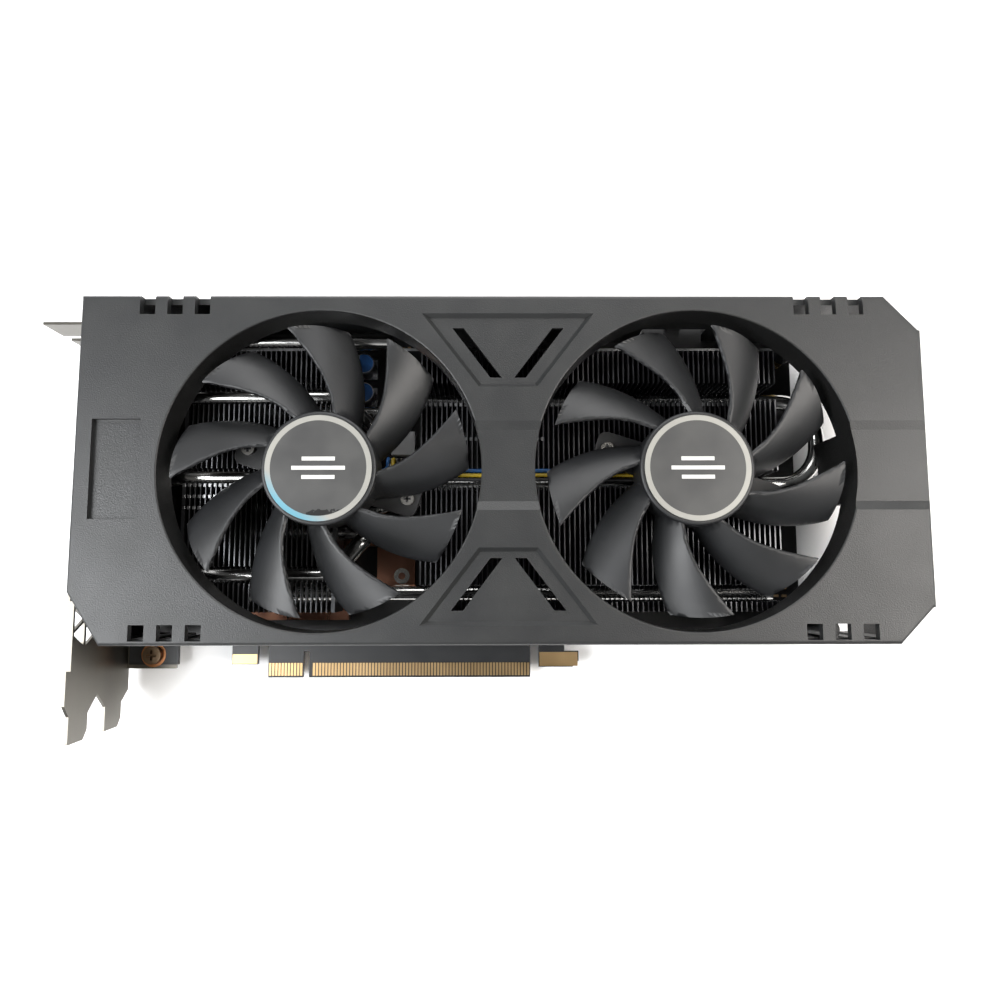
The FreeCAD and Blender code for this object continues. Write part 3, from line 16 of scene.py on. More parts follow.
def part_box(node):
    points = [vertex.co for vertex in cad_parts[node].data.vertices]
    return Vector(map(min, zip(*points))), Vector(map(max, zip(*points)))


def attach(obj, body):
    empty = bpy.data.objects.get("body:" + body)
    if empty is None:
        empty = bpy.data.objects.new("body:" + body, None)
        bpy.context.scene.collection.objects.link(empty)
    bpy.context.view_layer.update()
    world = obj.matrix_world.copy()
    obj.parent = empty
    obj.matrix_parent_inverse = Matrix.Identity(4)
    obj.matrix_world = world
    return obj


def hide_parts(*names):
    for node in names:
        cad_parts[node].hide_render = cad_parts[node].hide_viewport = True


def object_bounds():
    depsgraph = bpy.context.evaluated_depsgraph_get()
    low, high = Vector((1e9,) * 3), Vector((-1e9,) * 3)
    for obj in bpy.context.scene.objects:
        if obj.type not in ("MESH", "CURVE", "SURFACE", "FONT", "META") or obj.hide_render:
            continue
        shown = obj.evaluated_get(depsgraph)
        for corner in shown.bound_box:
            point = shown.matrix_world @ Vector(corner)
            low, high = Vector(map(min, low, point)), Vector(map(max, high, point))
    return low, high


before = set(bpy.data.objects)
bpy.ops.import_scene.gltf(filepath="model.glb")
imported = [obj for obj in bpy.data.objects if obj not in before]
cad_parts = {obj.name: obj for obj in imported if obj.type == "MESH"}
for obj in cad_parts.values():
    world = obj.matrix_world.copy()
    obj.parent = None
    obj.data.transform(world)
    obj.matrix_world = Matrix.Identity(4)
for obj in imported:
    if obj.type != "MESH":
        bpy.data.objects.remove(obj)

logging.basicConfig(level=logging.INFO, format="%(levelname)s %(message)s")
LOG = logging.getLogger("card")

CAD_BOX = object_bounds()
MM = 0.001

# The sRGB curve: where its straight part ends, and the numbers of its two parts.
SRGB_KNEE, SRGB_SLOPE, SRGB_LIFT, SRGB_POWER = 0.04045, 12.92, 0.055, 2.4
BYTE_MAX = 255
# A Mix node's colour sockets, which can only be told apart by number.
MIX_A, MIX_B, MIX_RESULT = 6, 7, 2
# A band wave repeats this many times over one turn of its scale.
WAVE_STEP = 10.0
# Fineness of the two noises that every finish has, where its two colours meet, and how deep its grain is.
GRAIN_DETAIL, PATCH_DETAIL, SPOT_DETAIL = 3.0, 2.0, 5.0
PATCH_FROM, PATCH_TO = 0.3, 0.7
GRAIN_DEPTH = 0.1 * MM
# Points closer than this are one point; points and sizes are compared to this many digits of a metre.
JOIN_GAP = 0.002 * MM
POINT_DIGITS, SIZE_DIGITS = 6, 7


class Side(Enum):
    """The two fans, named by their place in the cover."""

    LEFT = "left"
    RIGHT = "right"


# ---------------------------------------------------------------- colours and nodes
def linear(hex_colour: str, alpha: float = 1.0) -> tuple[float, float, float, float]:
    """Turn an sRGB hex colour into a linear one.

    Args:
        hex_colour: six hex digits, with or without a leading hash.
        alpha: the fourth value.

    Returns:
        The linear red, green, blue and alpha.
    """
    digits = hex_colour.lstrip("#")
    channels = [int(digits[i:i + 2], 16) / BYTE_MAX for i in (0, 2, 4)]
    flat = [c / SRGB_SLOPE if c <= SRGB_KNEE else ((c + SRGB_LIFT) / (1 + SRGB_LIFT)) ** SRGB_POWER
            for c in channels]
    return (flat[0], flat[1], flat[2], alpha)


def add_node(tree: bpy.types.NodeTree, kind: str, settings: dict | None = None,
             links: dict | None = None) -> bpy.types.Node:
    """Add one node with its settings and the links into it.

    Args:
        tree: the node tree it goes in.
        kind: the node's type name.
        settings: properties by name, and input values by socket name or number.
        links: input socket name or number to the output socket that feeds it.

    Returns:
        The new node.
    """
    made = tree.nodes.new(kind)
    for key, value in (settings or {}).items():
        if isinstance(key, str) and hasattr(made, key):
            setattr(made, key, value)
        else:
            made.inputs[key].default_value = value
    for key, source in (links or {}).items():
        tree.links.new(source, made.inputs[key])
    return made


def ramp(tree: bpy.types.NodeTree, source: bpy.types.NodeSocket,
         stops: list[tuple[float, tuple[float, float, float, float]]]) -> bpy.types.NodeSocket:
    """Turn a value into a colour through stops.

    Args:
        tree: the node tree.
        source: the value's socket.
        stops: place and colour of each stop, in order.

    Returns:
        The colour's socket.
    """
    made = add_node(tree, "ShaderNodeValToRGB", links={"Fac": source})
    elements = made.color_ramp.elements
    while len(elements) < len(stops):
        elements.new(0.5)
    for element, (place, colour) in zip(elements, stops):
        element.position = place
        element.color = colour
    return made.outputs["Color"]


def mix_flat(tree: bpy.types.NodeTree, share: bpy.types.NodeSocket, source: bpy.types.NodeSocket,
             hex_colour: str, flat_first: bool = False) -> bpy.types.NodeSocket:
    """Mix one flat colour into another colour by a share.

    Args:
        tree: the node tree.
        share: the share's socket.
        source: the other colour's socket.
        hex_colour: the flat colour.
        flat_first: whether the flat colour shows at share nought, and not at share one.

    Returns:
        The mixed colour's socket.
    """
    mixed = add_node(tree, "ShaderNodeMix", {"data_type": "RGBA"}, {0: share})
    flat, other = (MIX_A, MIX_B) if flat_first else (MIX_B, MIX_A)
    mixed.inputs[flat].default_value = linear(hex_colour)
    tree.links.new(source, mixed.inputs[other])
    return mixed.outputs[MIX_RESULT]


# ---------------------------------------------------------------- finishes
# Moulded, plated and rolled grains are a tenth of a millimetre or less, too fine to show, so every
# grain is drawn a quarter of a millimetre or coarser.
@dataclass(frozen=True)
class Finish:
    """A surface with a fine grain, slight mottling and, if asked, streaks."""

    name: str
    colour: str
    second: str
    roughness: float
    metallic: float = 0.0
    grain_mm: float = 0.5
    grain_bump: float = 0.1
    patch_mm: float = 12.0
    stretch: tuple[float, float, float] = (1.0, 1.0, 1.0)
    rough_spread: float = 0.08
    ior: float = 1.5

    def build(self) -> bpy.types.Material:
        """Make the material.

        Returns:
            The finished material.
        """
        made = bpy.data.materials.new(self.name)
        made.use_nodes = True
        tree = made.node_tree
        shader = tree.nodes["Principled BSDF"]
        place = add_node(tree, "ShaderNodeTexCoord").outputs["Object"]
        stretched = add_node(tree, "ShaderNodeMapping", {"Scale": self.stretch}, {"Vector": place})
        grain, patch = (
            add_node(tree, "ShaderNodeTexNoise", {"Scale": 1.0 / (size_mm * MM), "Detail": detail},
                     {"Vector": stretched.outputs["Vector"]})
            for size_mm, detail in ((self.grain_mm, GRAIN_DETAIL), (self.patch_mm, PATCH_DETAIL)))
        colour = ramp(tree, patch.outputs["Fac"],
                      [(PATCH_FROM, linear(self.colour)), (PATCH_TO, linear(self.second))])
        tree.links.new(colour, shader.inputs["Base Color"])
        spread = add_node(tree, "ShaderNodeMapRange",
                          {"To Min": self.roughness - self.rough_spread,
                           "To Max": self.roughness + self.rough_spread},
                          {"Value": patch.outputs["Fac"]})
        tree.links.new(spread.outputs["Result"], shader.inputs["Roughness"])
        bump = add_node(tree, "ShaderNodeBump", {"Strength": self.grain_bump, "Distance": GRAIN_DEPTH},
                        {"Height": grain.outputs["Fac"]})
        tree.links.new(bump.outputs["Normal"], shader.inputs["Normal"])
        shader.inputs["Metallic"].default_value = self.metallic
        if self.metallic == 0.0:
            shader.inputs["IOR"].default_value = self.ior
        return made


# Injection-moulded PBT: smoother and darker than the cover.
BLADE_PBT = Finish("moulded PBT fan blades", "131415", "17181a", 0.47, grain_mm=0.6, grain_bump=0.06)
# Injection-moulded PBT, nearly black: lost in shadow but for a soft sheen on its arms.
FRAME_PBT = Finish("moulded PBT frame", "0b0b0c", "0e0e0f", 0.5, grain_mm=0.5, grain_bump=0.12)
# Black moulded nylon: a dull, slightly uneven socket body.
NYLON_BLACK = Finish("moulded nylon, black", "19191a", "1d1d1e", 0.5, grain_mm=0.4, grain_bump=0.1)
# Undyed moulded nylon: creamy and waxy.
NYLON_PALE = Finish("moulded nylon, natural", "d6d0bf", "ddd8c9", 0.5, grain_mm=0.4, grain_bump=0.1)
# Bare plated copper rings round the board's holes.
LAND_COPPER = Finish("plated copper land", "a8714d", "b98158", 0.34, 1.0, grain_mm=0.4, grain_bump=0.06)
# Painted shade for the unlit bottom of a crossed drive recess: dark and dull.
RECESS_PAINTED_SHADE = Finish("shadowed drive recess", "141414", "1a1a1a", 0.6, 0.2, grain_mm=0.4, grain_bump=0.05)
# Gold over nickel on the contact edge: soft and satin.
CONTACT_GOLD = Finish("plated contact gold", "b5986d", "c0a378", 0.36, 1.0, grain_mm=0.3, grain_bump=0.05)
# Transfer-moulded epoxy: charcoal, matt, with a fine sandy face.
CHIP_EPOXY = Finish("transfer-moulded epoxy", "1c1c1e", "222224", 0.6, grain_mm=0.3, grain_bump=0.2)
# Polished silicon: blue-grey and mirror-like.
SILICON = Finish("polished silicon", "4b4d55", "55565e", 0.12, grain_mm=2.0, grain_bump=0.0)
# Pressed iron powder: light grey, dry and grainy.
FERRITE = Finish("pressed iron powder", "b9babb", "c4c5c6", 0.45, 0.2, grain_mm=0.25, grain_bump=0.3)
# Printed ink on the can tops: saturated blue with a bare metal crescent for the polarity.
CAN_BLUE = Finish("printed blue can top", "2c5fa0", "3469ab", 0.35, grain_mm=0.4, grain_bump=0.04)
# Drawn aluminium: bright, with a soft gloss.
CAN_METAL = Finish("drawn aluminium can", "c4c6c9", "cfd1d4", 0.3, 1.0, grain_mm=0.4, grain_bump=0.05)
# Fired ceramic chips: patches of tan and brown from piece to piece.
SMALL_CERAMIC = Finish("ceramic chip parts", "8e7656", "6b5a45", 0.45, grain_mm=0.3, grain_bump=0.1,
                       patch_mm=3.0)
# Tin plating: pale and softly bright.
TIN_PLATE = Finish("tin plating", "c9c9c5", "b9b9b5", 0.28, 1.0, grain_mm=0.3, grain_bump=0.05)
# Reflowed solder: bright, lumpy beads.
SOLDER_METAL = Finish("reflowed solder", "b9b9b8", "cfcfce", 0.25, 1.0, grain_mm=0.8, grain_bump=0.1,
                      patch_mm=2.0)
# Nickel-plated sheet steel: grey with a warm cast and a fine rolled grain along its length.
BRACKET_NICKEL = Finish("nickel-plated sheet steel", "63605a", "6d6a63", 0.36, 1.0, grain_mm=0.5,
                        grain_bump=0.12, stretch=(1.0, 0.08, 1.0))
# Nickel plating on folded steel: bright grey with a warm cast.
SOCKET_NICKEL = Finish("nickel-plated socket shell", "b5b3ae", "c2c0bb", 0.28, 1.0, grain_mm=0.5,
                       grain_bump=0.05)
# Nickel-plated screw heads: bright with a warm cast.
SCREW_NICKEL = Finish("nickel-plated screw", "cfccc6", "dad7d0", 0.27, 1.0, grain_mm=0.4, grain_bump=0.06)
# Passivated steel screw: dull bronze.
SCREW_BRONZE = Finish("passivated screw", "6b5a48", "7a6753", 0.32, 1.0, grain_mm=0.4, grain_bump=0.08)
# Black oxide: dark, with a weak metal shine.
SCREW_BLACK = Finish("black-oxide screw", "1d1d1e", "242425", 0.38, 0.6, grain_mm=0.4, grain_bump=0.06)
# Machined copper, handled and a little tarnished: brown-red and satin.
PLATE_COPPER = Finish("machined copper", "7f5a48", "8c6553", 0.3, 1.0, grain_mm=0.5, grain_bump=0.15,
                      patch_mm=6.0, stretch=(1.0, 0.1, 1.0))
# Nickel over copper tube, bright but hand-bent, with solder smeared along it.
PIPE_NICKEL = Finish("nickel-plated heat pipe", "b2b2b0", "bcbcba", 0.17, 1.0, grain_mm=1.6, grain_bump=0.12,
                     patch_mm=9.0, rough_spread=0.04)
# Stamped sheet aluminium, drawn darker than the bare metal as painted shade for the shadow of the fans and
# cover: mid grey and satin, so the gaps between fins read dark.
SHADED_FIN_SHEET = Finish("stamped fin aluminium, painted shade", "6c6d6f", "7b7c7e", 0.34, 1.0, grain_mm=0.4, grain_bump=0.08)
# The same fin aluminium drawn lighter than the shaded fin sheet: a painted highlight, so each lock tab and each
# stack lip catch a bright point.
FIN_HIGHLIGHT = Finish("fin tabs and lips, painted highlight", "a9aaab", "b7b8b9", 0.3, 1.0, grain_mm=0.4, grain_bump=0.05)
# Extruded aluminium: mid grey and satin.
SPREADER = Finish("extruded aluminium", "8d8f91", "999b9d", 0.4, 1.0, grain_mm=0.5, grain_bump=0.1)
# Filled silicone: grey, dead matt and slightly rough.
SILICONE_PAD = Finish("filled silicone pad", "9aa0a4", "a5abaf", 0.7, grain_mm=0.5, grain_bump=0.2)
# Drawn spring wire: grey with a tight shine.
SPRING_WIRE = Finish("spring steel", "8c8c90", "9a9a9e", 0.3, 1.0, grain_mm=0.4, grain_bump=0.05)
# Blackened sheet steel: near black with a weak metal sheen.
BLACK_STEEL = Finish("blackened sheet steel", "2b2b2d", "333335", 0.45, 0.7, grain_mm=0.5, grain_bump=0.12)
# Turned brass: yellow, with a soft turned shine.
TURNED_BRASS = Finish("turned brass", "b39a62", "bfa66e", 0.3, 1.0, grain_mm=0.4, grain_bump=0.06)
# Glass-epoxy laminate under green mask: dull green with a faint gloss.
BOARD_GREEN = Finish("green laminate", "1e4a33", "24543b", 0.4, grain_mm=0.6, grain_bump=0.1)
# Bonded ferrite: charcoal and dull.
BONDED_FERRITE = Finish("bonded ferrite", "3a3a3c", "424244", 0.6, grain_mm=0.4, grain_bump=0.15)
# Deep-drawn steel cup: plain grey metal.
DRAWN_STEEL = Finish("drawn steel", "8a8a8c", "969698", 0.32, 1.0, grain_mm=0.4, grain_bump=0.05)
# Ground steel shaft: the brightest metal inside the fan.
GROUND_STEEL = Finish("ground steel", "c0c0c2", "cacacc", 0.18, 1.0, grain_mm=0.4, grain_bump=0.03)
# Oil-filled sintered bronze: brown, grainy and satin.
SINTERED_BRONZE = Finish("sintered bronze", "93703f", "9d7a48", 0.45, 1.0, grain_mm=0.25, grain_bump=0.2)
# Enamelled wire wound in layers: reddish copper with fine rows.
WINDING_COPPER = Finish("enamelled winding", "8f4a26", "a65a31", 0.3, 0.8, grain_mm=0.3, grain_bump=0.4,
                        stretch=(1.0, 1.0, 0.2))
# Soft PVC insulation on the three leads: black, yellow and blue, each even with a waxy shine.
LEAD_BLACK = Finish("PVC insulation, black", "161617", "1b1b1c", 0.4, grain_mm=0.5, grain_bump=0.05)
LEAD_YELLOW = Finish("PVC insulation, yellow", "b79a22", "c2a52c", 0.4, grain_mm=0.5, grain_bump=0.05)
LEAD_BLUE = Finish("PVC insulation, blue", "1d4f86", "245a94", 0.4, grain_mm=0.5, grain_bump=0.05)
# Printed polyester film: a dark grey face that catches a soft highlight.
LABEL_FILM = Finish("printed polyester film", "3a3a3a", "424241", 0.36, grain_mm=0.8, grain_bump=0.08,
                    patch_mm=9.0)
# Silver ink: a bright, slightly warm ring.
LABEL_RING = Finish("silver-printed ring", "94938d", "8b8a85", 0.36, 0.2, grain_mm=0.6, grain_bump=0.06)
# White ink on the label: flat and clean.
LABEL_MARK = Finish("white ink", "c2c2be", "b9b9b5", 0.5, grain_mm=0.5, grain_bump=0.03)


@dataclass(frozen=True)
class CoverFinish(Finish):
    """The cover's plastic, with painted shade inside the two fan openings: the ring walls there are drawn
    darker than the rest of the cover.
    """

    # Painted shade: the darker colour inside the fan openings, for the shade that falls on their ring walls.
    painted_bore_shade: str = "131313"
    bore_radius: float = 46.0 * MM
    edge: float = 0.25 * MM

    def build(self) -> bpy.types.Material:
        """Make the material.

        Returns:
            The finished material.
        """
        made = super().build()
        tree = made.node_tree
        shader = tree.nodes["Principled BSDF"]
        outside = shader.inputs["Base Color"].links[0].from_socket
        place = add_node(tree, "ShaderNodeTexCoord").outputs["Object"]
        flat = add_node(tree, "ShaderNodeVectorMath", {"operation": "MULTIPLY", 1: (1.0, 1.0, 0.0)}, {0: place})
        # Painted shade: within the bore radius of each fan's axis, the cover takes the darker bore colour.
        for side in Side:
            middle = rotor_axis(side)
            away = add_node(tree, "ShaderNodeVectorMath",
                            {"operation": "DISTANCE", 1: (middle.x, middle.y, 0.0)},
                            {0: flat.outputs["Vector"]})
            share = add_node(tree, "ShaderNodeMapRange", {"From Min": self.bore_radius - self.edge,
                                                          "From Max": self.bore_radius + self.edge},
                             {"Value": away.outputs["Value"]})
            outside = mix_flat(tree, share.outputs["Result"], outside, self.painted_bore_shade, flat_first=True)
        tree.links.new(outside, shader.inputs["Base Color"])
        return made


@dataclass(frozen=True)
class SheenAndWearFinish(Finish):
    """A printed label finish with a second colour over one side of it: whole, as the painted sheen on the left
    ring, or in spots, as wear.
    """

    # Painted sheen: by default the second colour is a blue sheen painted on one side of the left ring.
    accent: str = "5a8c9c"
    side: Side = Side.LEFT
    toward: tuple[float, float, float] = (-0.6, -0.8, 0.0)
    start: float = 9.0 * MM
    end: float = 14.0 * MM
    spot_mm: float = 0.0
    spot_cut: float = 0.3

    def build(self) -> bpy.types.Material:
        """Make the material.

        Returns:
            The finished material.
        """
        made = super().build()
        tree = made.node_tree
        shader = tree.nodes["Principled BSDF"]
        plain = shader.inputs["Base Color"].links[0].from_socket
        middle = rotor_axis(self.side)
        place = add_node(tree, "ShaderNodeTexCoord").outputs["Object"]
        away = add_node(tree, "ShaderNodeVectorMath", {"operation": "SUBTRACT", 1: tuple(middle)}, {0: place})
        along = add_node(tree, "ShaderNodeVectorMath", {"operation": "DOT_PRODUCT", 1: self.toward},
                         {0: away.outputs["Vector"]})
        share = add_node(tree, "ShaderNodeMapRange", {"From Min": self.start, "From Max": self.end},
                         {"Value": along.outputs["Value"]}).outputs["Result"]
        if self.spot_mm > 0.0:
            spots = add_node(tree, "ShaderNodeTexNoise",
                             {"Scale": 1.0 / (self.spot_mm * MM), "Detail": SPOT_DETAIL}, {"Vector": place})
            worn = add_node(tree, "ShaderNodeMath", {"operation": "MULTIPLY"},
                            {0: share, 1: spots.outputs["Fac"]})
            share = add_node(tree, "ShaderNodeMath", {"operation": "GREATER_THAN", 1: self.spot_cut},
                             {0: worn.outputs[0]}).outputs[0]
        tree.links.new(mix_flat(tree, share, plain, self.accent), shader.inputs["Base Color"])
        return made


@dataclass(frozen=True)
class BoardFinish(Finish):
    """Solder mask over copper, with fine slanted tracks above the contacts."""

    # Real tracks lie closer together than this, and are drawn as coarse as they need to show.
    track: str = "1d1f22"
    track_mm: float = 0.9
    low: float = 4.9 * MM
    high: float = 10.4 * MM

    def build(self) -> bpy.types.Material:
        """Make the material.

        Returns:
            The finished material.
        """
        made = super().build()
        tree = made.node_tree
        shader = tree.nodes["Principled BSDF"]
        mask = shader.inputs["Base Color"].links[0].from_socket
        place = add_node(tree, "ShaderNodeTexCoord").outputs["Object"]
        per_metre = math.tau / (WAVE_STEP * self.track_mm * MM)
        bands = add_node(tree, "ShaderNodeTexWave",
                         {"wave_type": "BANDS", "bands_direction": "DIAGONAL", "Scale": per_metre},
                         {"Vector": place})
        height = add_node(tree, "ShaderNodeSeparateXYZ", links={"Vector": place}).outputs["Y"]
        over = add_node(tree, "ShaderNodeMath", {"operation": "GREATER_THAN", 1: self.low}, {0: height})
        under = add_node(tree, "ShaderNodeMath", {"operation": "LESS_THAN", 1: self.high}, {0: height})
        zone = add_node(tree, "ShaderNodeMath", {"operation": "MULTIPLY"},
                        {0: over.outputs[0], 1: under.outputs[0]})
        share = add_node(tree, "ShaderNodeMath", {"operation": "MULTIPLY"},
                         {0: zone.outputs[0], 1: bands.outputs["Fac"]})
        tree.links.new(mix_flat(tree, share.outputs[0], mask, self.track), shader.inputs["Base Color"])
        return made


def rotor_axis(side: Side) -> Vector:
    """The point where a fan's axis meets the top of its hub.

    Args:
        side: which fan.

    Returns:
        The point, in metres.
    """
    low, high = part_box(f"shaft_{side.value}")
    return Vector(((low.x + high.x) / 2, (low.y + high.y) / 2, high.z))


# The left label: a painted blue sheen on the side of its ring that catches the light, and scuffs through the
# grey below the mark.
SHEEN_PAINTED_RING = SheenAndWearFinish("silver-printed ring, blue sheen", "94938d", "8b8a85", 0.36, 0.2, grain_mm=0.6,
                         grain_bump=0.06)
SCUFFED_FILM = SheenAndWearFinish("printed polyester film, scuffed", "3a3a3a", "424241", 0.36, grain_mm=0.8,
                          grain_bump=0.08, patch_mm=9.0, accent="0c0c0c", toward=(0.1, -1.0, 0.0),
                          start=9.8 * MM, end=13.6 * MM, spot_mm=1.6)
# Moulded ABS with a fine spark-eroded texture: dull, dark grey, with a soft broad sheen; drawn darker inside
# the fan openings as painted shade.
COVER_ABS = CoverFinish("moulded ABS, fine texture", "1b1c1d", "1f2020", 0.44, grain_mm=0.4, grain_bump=0.8)
# Liquid solder mask hardened by light: thin, black and a little glossy.
SOLDER_MASK = BoardFinish("black solder mask", "080809", "0b0b0c", 0.4, grain_mm=1.2, grain_bump=0.1,
                          patch_mm=5.0)

NODE_FINISHES: dict[str, Finish] = {
    "pcb": SOLDER_MASK, "gold_fingers": CONTACT_GOLD, "gpu_package": CHIP_EPOXY, "gpu_die": SILICON,
    "memory_chips": CHIP_EPOXY, "power_stages": CHIP_EPOXY, "controller_chips": CHIP_EPOXY,
    "chokes": FERRITE, "polymer_capacitors": CAN_METAL, "small_parts_front": SMALL_CERAMIC,
    "small_parts_back": SMALL_CERAMIC, "power_connector": NYLON_BLACK, "power_pins": TIN_PLATE,
    "solder_tails": SOLDER_METAL, "fan_header": NYLON_PALE, "fan_plug": NYLON_PALE,
    "wide_port_shell": SOCKET_NICKEL, "wide_port_tongue": NYLON_BLACK, "tall_port_shells": SOCKET_NICKEL,
    "tall_port_tongues": NYLON_BLACK, "io_bracket": BRACKET_NICKEL, "bracket_screws": SCREW_BRONZE,
    "cold_plate": PLATE_COPPER, "fin_stack_left": SHADED_FIN_SHEET, "fin_stack_right": SHADED_FIN_SHEET,
    "heat_pipe_1": PIPE_NICKEL, "heat_pipe_2": PIPE_NICKEL, "heat_pipe_3": PIPE_NICKEL,
    "heat_pipe_4": PIPE_NICKEL, "heat_pipe_5": PIPE_NICKEL, "heat_pipe_6": PIPE_NICKEL,
    "vrm_plate": SPREADER, "thermal_pads": SILICONE_PAD, "retention_plate": BLACK_STEEL,
    "retention_screws": SCREW_NICKEL, "retention_springs": SPRING_WIRE, "standoffs": TURNED_BRASS,
    "cooler_screws": SCREW_BLACK, "shroud": COVER_ABS, "shroud_screws": SCREW_BLACK,
    "fan_frame_left": FRAME_PBT, "fan_frame_right": FRAME_PBT, "fan_frame_screws": SCREW_NICKEL,
    "stator_left": WINDING_COPPER, "stator_right": WINDING_COPPER, "motor_boards": BOARD_GREEN,
    "bearing_sleeves": SINTERED_BRONZE, "fan_lead_black": LEAD_BLACK, "fan_lead_yellow": LEAD_YELLOW,
    "fan_lead_blue": LEAD_BLUE, "rotor_left": BLADE_PBT, "rotor_right": BLADE_PBT,
    "yoke_left": DRAWN_STEEL, "yoke_right": DRAWN_STEEL, "magnet_left": BONDED_FERRITE,
    "magnet_right": BONDED_FERRITE, "shaft_left": GROUND_STEEL, "shaft_right": GROUND_STEEL,
    "hub_label_left": SCUFFED_FILM, "hub_label_right": LABEL_FILM,
}


class Finishes:
    """Makes each finish once and puts it on objects."""

    def __init__(self) -> None:
        """Start with no material made."""
        self.made: dict[str, bpy.types.Material] = {}

    def material(self, finish: Finish) -> bpy.types.Material:
        """Give the finish's material, made at its first use.

        Args:
            finish: the finish wanted.

        Returns:
            Its material.
        """
        if finish.name not in self.made:
            self.made[finish.name] = finish.build()
        return self.made[finish.name]

    def dress(self, piece: bpy.types.Object, *finishes: Finish) -> bpy.types.Object:
        """Replace a piece's materials with finishes, one for each slot.

        Args:
            piece: the object to dress.
            finishes: the finishes, in slot order.

        Returns:
            The same object.
        """
        piece.data.materials.clear()
        for finish in finishes:
            piece.data.materials.append(self.material(finish))
        return piece


FINISHES = Finishes()


# ---------------------------------------------------------------- modelling helpers
def deselect() -> None:
    """Leave nothing selected and no edit mode open."""
    if bpy.context.object is not None and bpy.context.object.mode != "OBJECT":
        bpy.ops.object.mode_set(mode="OBJECT")
    bpy.ops.object.select_all(action="DESELECT")


def choose(piece: bpy.types.Object) -> None:
    """Make one object the only selected and the active one.

    Args:
        piece: the object.
    """
    deselect()
    piece.select_set(True)
    bpy.context.view_layer.objects.active = piece


def settle(piece: bpy.types.Object, name: str) -> bpy.types.Object:
    """Apply a piece's place to its mesh and name it.

    Args:
        piece: the object.
        name: its new name.

    Returns:
        The same object, at the origin, unturned and unscaled.
    """
    choose(piece)
    bpy.ops.object.transform_apply(location=True, rotation=True, scale=True)
    piece.name = name
    piece.data.name = name
    return piece


def smooth(piece: bpy.types.Object, degrees: float) -> bpy.types.Object:
    """Shade a piece smooth where its faces meet at less than an angle.

    Args:
        piece: the object.
        degrees: the angle past which an edge stays sharp.

    Returns:
        The same object.
    """
    choose(piece)
    bpy.ops.object.shade_smooth_by_angle(angle=math.radians(degrees))
    return piece


def smooth_twin(node: str, name: str, degrees: float) -> bpy.types.Object:
    """Copy a frame node's mesh, join its loose triangles and shade it smooth.

    Args:
        node: the frame's node.
        name: the new piece's name.
        degrees: the angle past which an edge stays sharp.

    Returns:
        The new piece, which stands for the node.
    """
    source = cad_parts[node]
    twin = bpy.data.objects.new(name, source.data.copy())
    bpy.context.scene.collection.objects.link(twin)
    choose(twin)
    bpy.ops.object.mode_set(mode="EDIT")
    bpy.ops.mesh.select_all(action="SELECT")
    bpy.ops.mesh.remove_doubles(threshold=JOIN_GAP)
    bpy.ops.object.mode_set(mode="OBJECT")
    smooth(twin, degrees)
    even = twin.modifiers.new("even normals", "WEIGHTED_NORMAL")
    even.keep_sharp = True
    bpy.ops.object.modifier_apply(modifier="even normals")
    return twin


def islands(node: str) -> list[tuple[Vector, Vector]]:
    """Find the separate solids in a frame node.

    Args:
        node: the frame's node.

    Returns:
        The low and high corner of each solid's box.
    """
    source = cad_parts[node]
    keys = [tuple(round(c, POINT_DIGITS) for c in (source.matrix_world @ v.co)) for v in source.data.vertices]
    parent = {key: key for key in keys}

    def root(key: tuple[float, ...]) -> tuple[float, ...]:
        """Follow a point to the first point of its solid.

        Args:
            key: the point.

        Returns:
            The solid's first point.
        """
        while parent[key] != key:
            parent[key] = parent[parent[key]]
            key = parent[key]
        return key

    for face in source.data.polygons:
        first = root(keys[face.vertices[0]])
        for index in face.vertices[1:]:
            parent[root(keys[index])] = first
    solids: dict[tuple[float, ...], list[tuple[float, ...]]] = {}
    for key in parent:
        solids.setdefault(root(key), []).append(key)
    return [(Vector(min(p[i] for p in points) for i in range(3)),
             Vector(max(p[i] for p in points) for i in range(3))) for points in solids.values()]


class Models:
    """The shapes that repeat: each is modelled once, and each later one is a copy with its own mesh."""

    def __init__(self) -> None:
        """Start with no shape kept."""
        self.kept: dict[tuple[float, ...], tuple[bpy.types.Mesh, Vector]] = {}

    def keep(self, sizes: tuple[float, ...], piece: bpy.types.Object, place: Vector) -> None:
        """Keep the shape of a piece that was just modelled.

        Args:
            sizes: the numbers that the shape is made from.
            piece: the piece.
            place: the point it stands on.
        """
        self.kept[sizes] = (piece.data.copy(), place.copy())

    def again(self, sizes: tuple[float, ...], name: str, place: Vector) -> bpy.types.Object | None:
        """Copy a kept shape to another place.

        Args:
            sizes: the numbers that the shape is made from.
            name: the copy's name.
            place: the point it stands on.

        Returns:
            The copy, or nothing if no such shape is kept.
        """
        if sizes not in self.kept:
            return None
        shape, first_place = self.kept[sizes]
        copy = bpy.data.objects.new(name, shape.copy())
        bpy.context.scene.collection.objects.link(copy)
        copy.location = place - first_place
        return settle(copy, name)


MODELS = Models()


def rounded(*sizes: float) -> tuple[float, ...]:
    """Round sizes, so that like shapes are known as like."""
    return tuple(round(size, SIZE_DIGITS) for size in sizes)


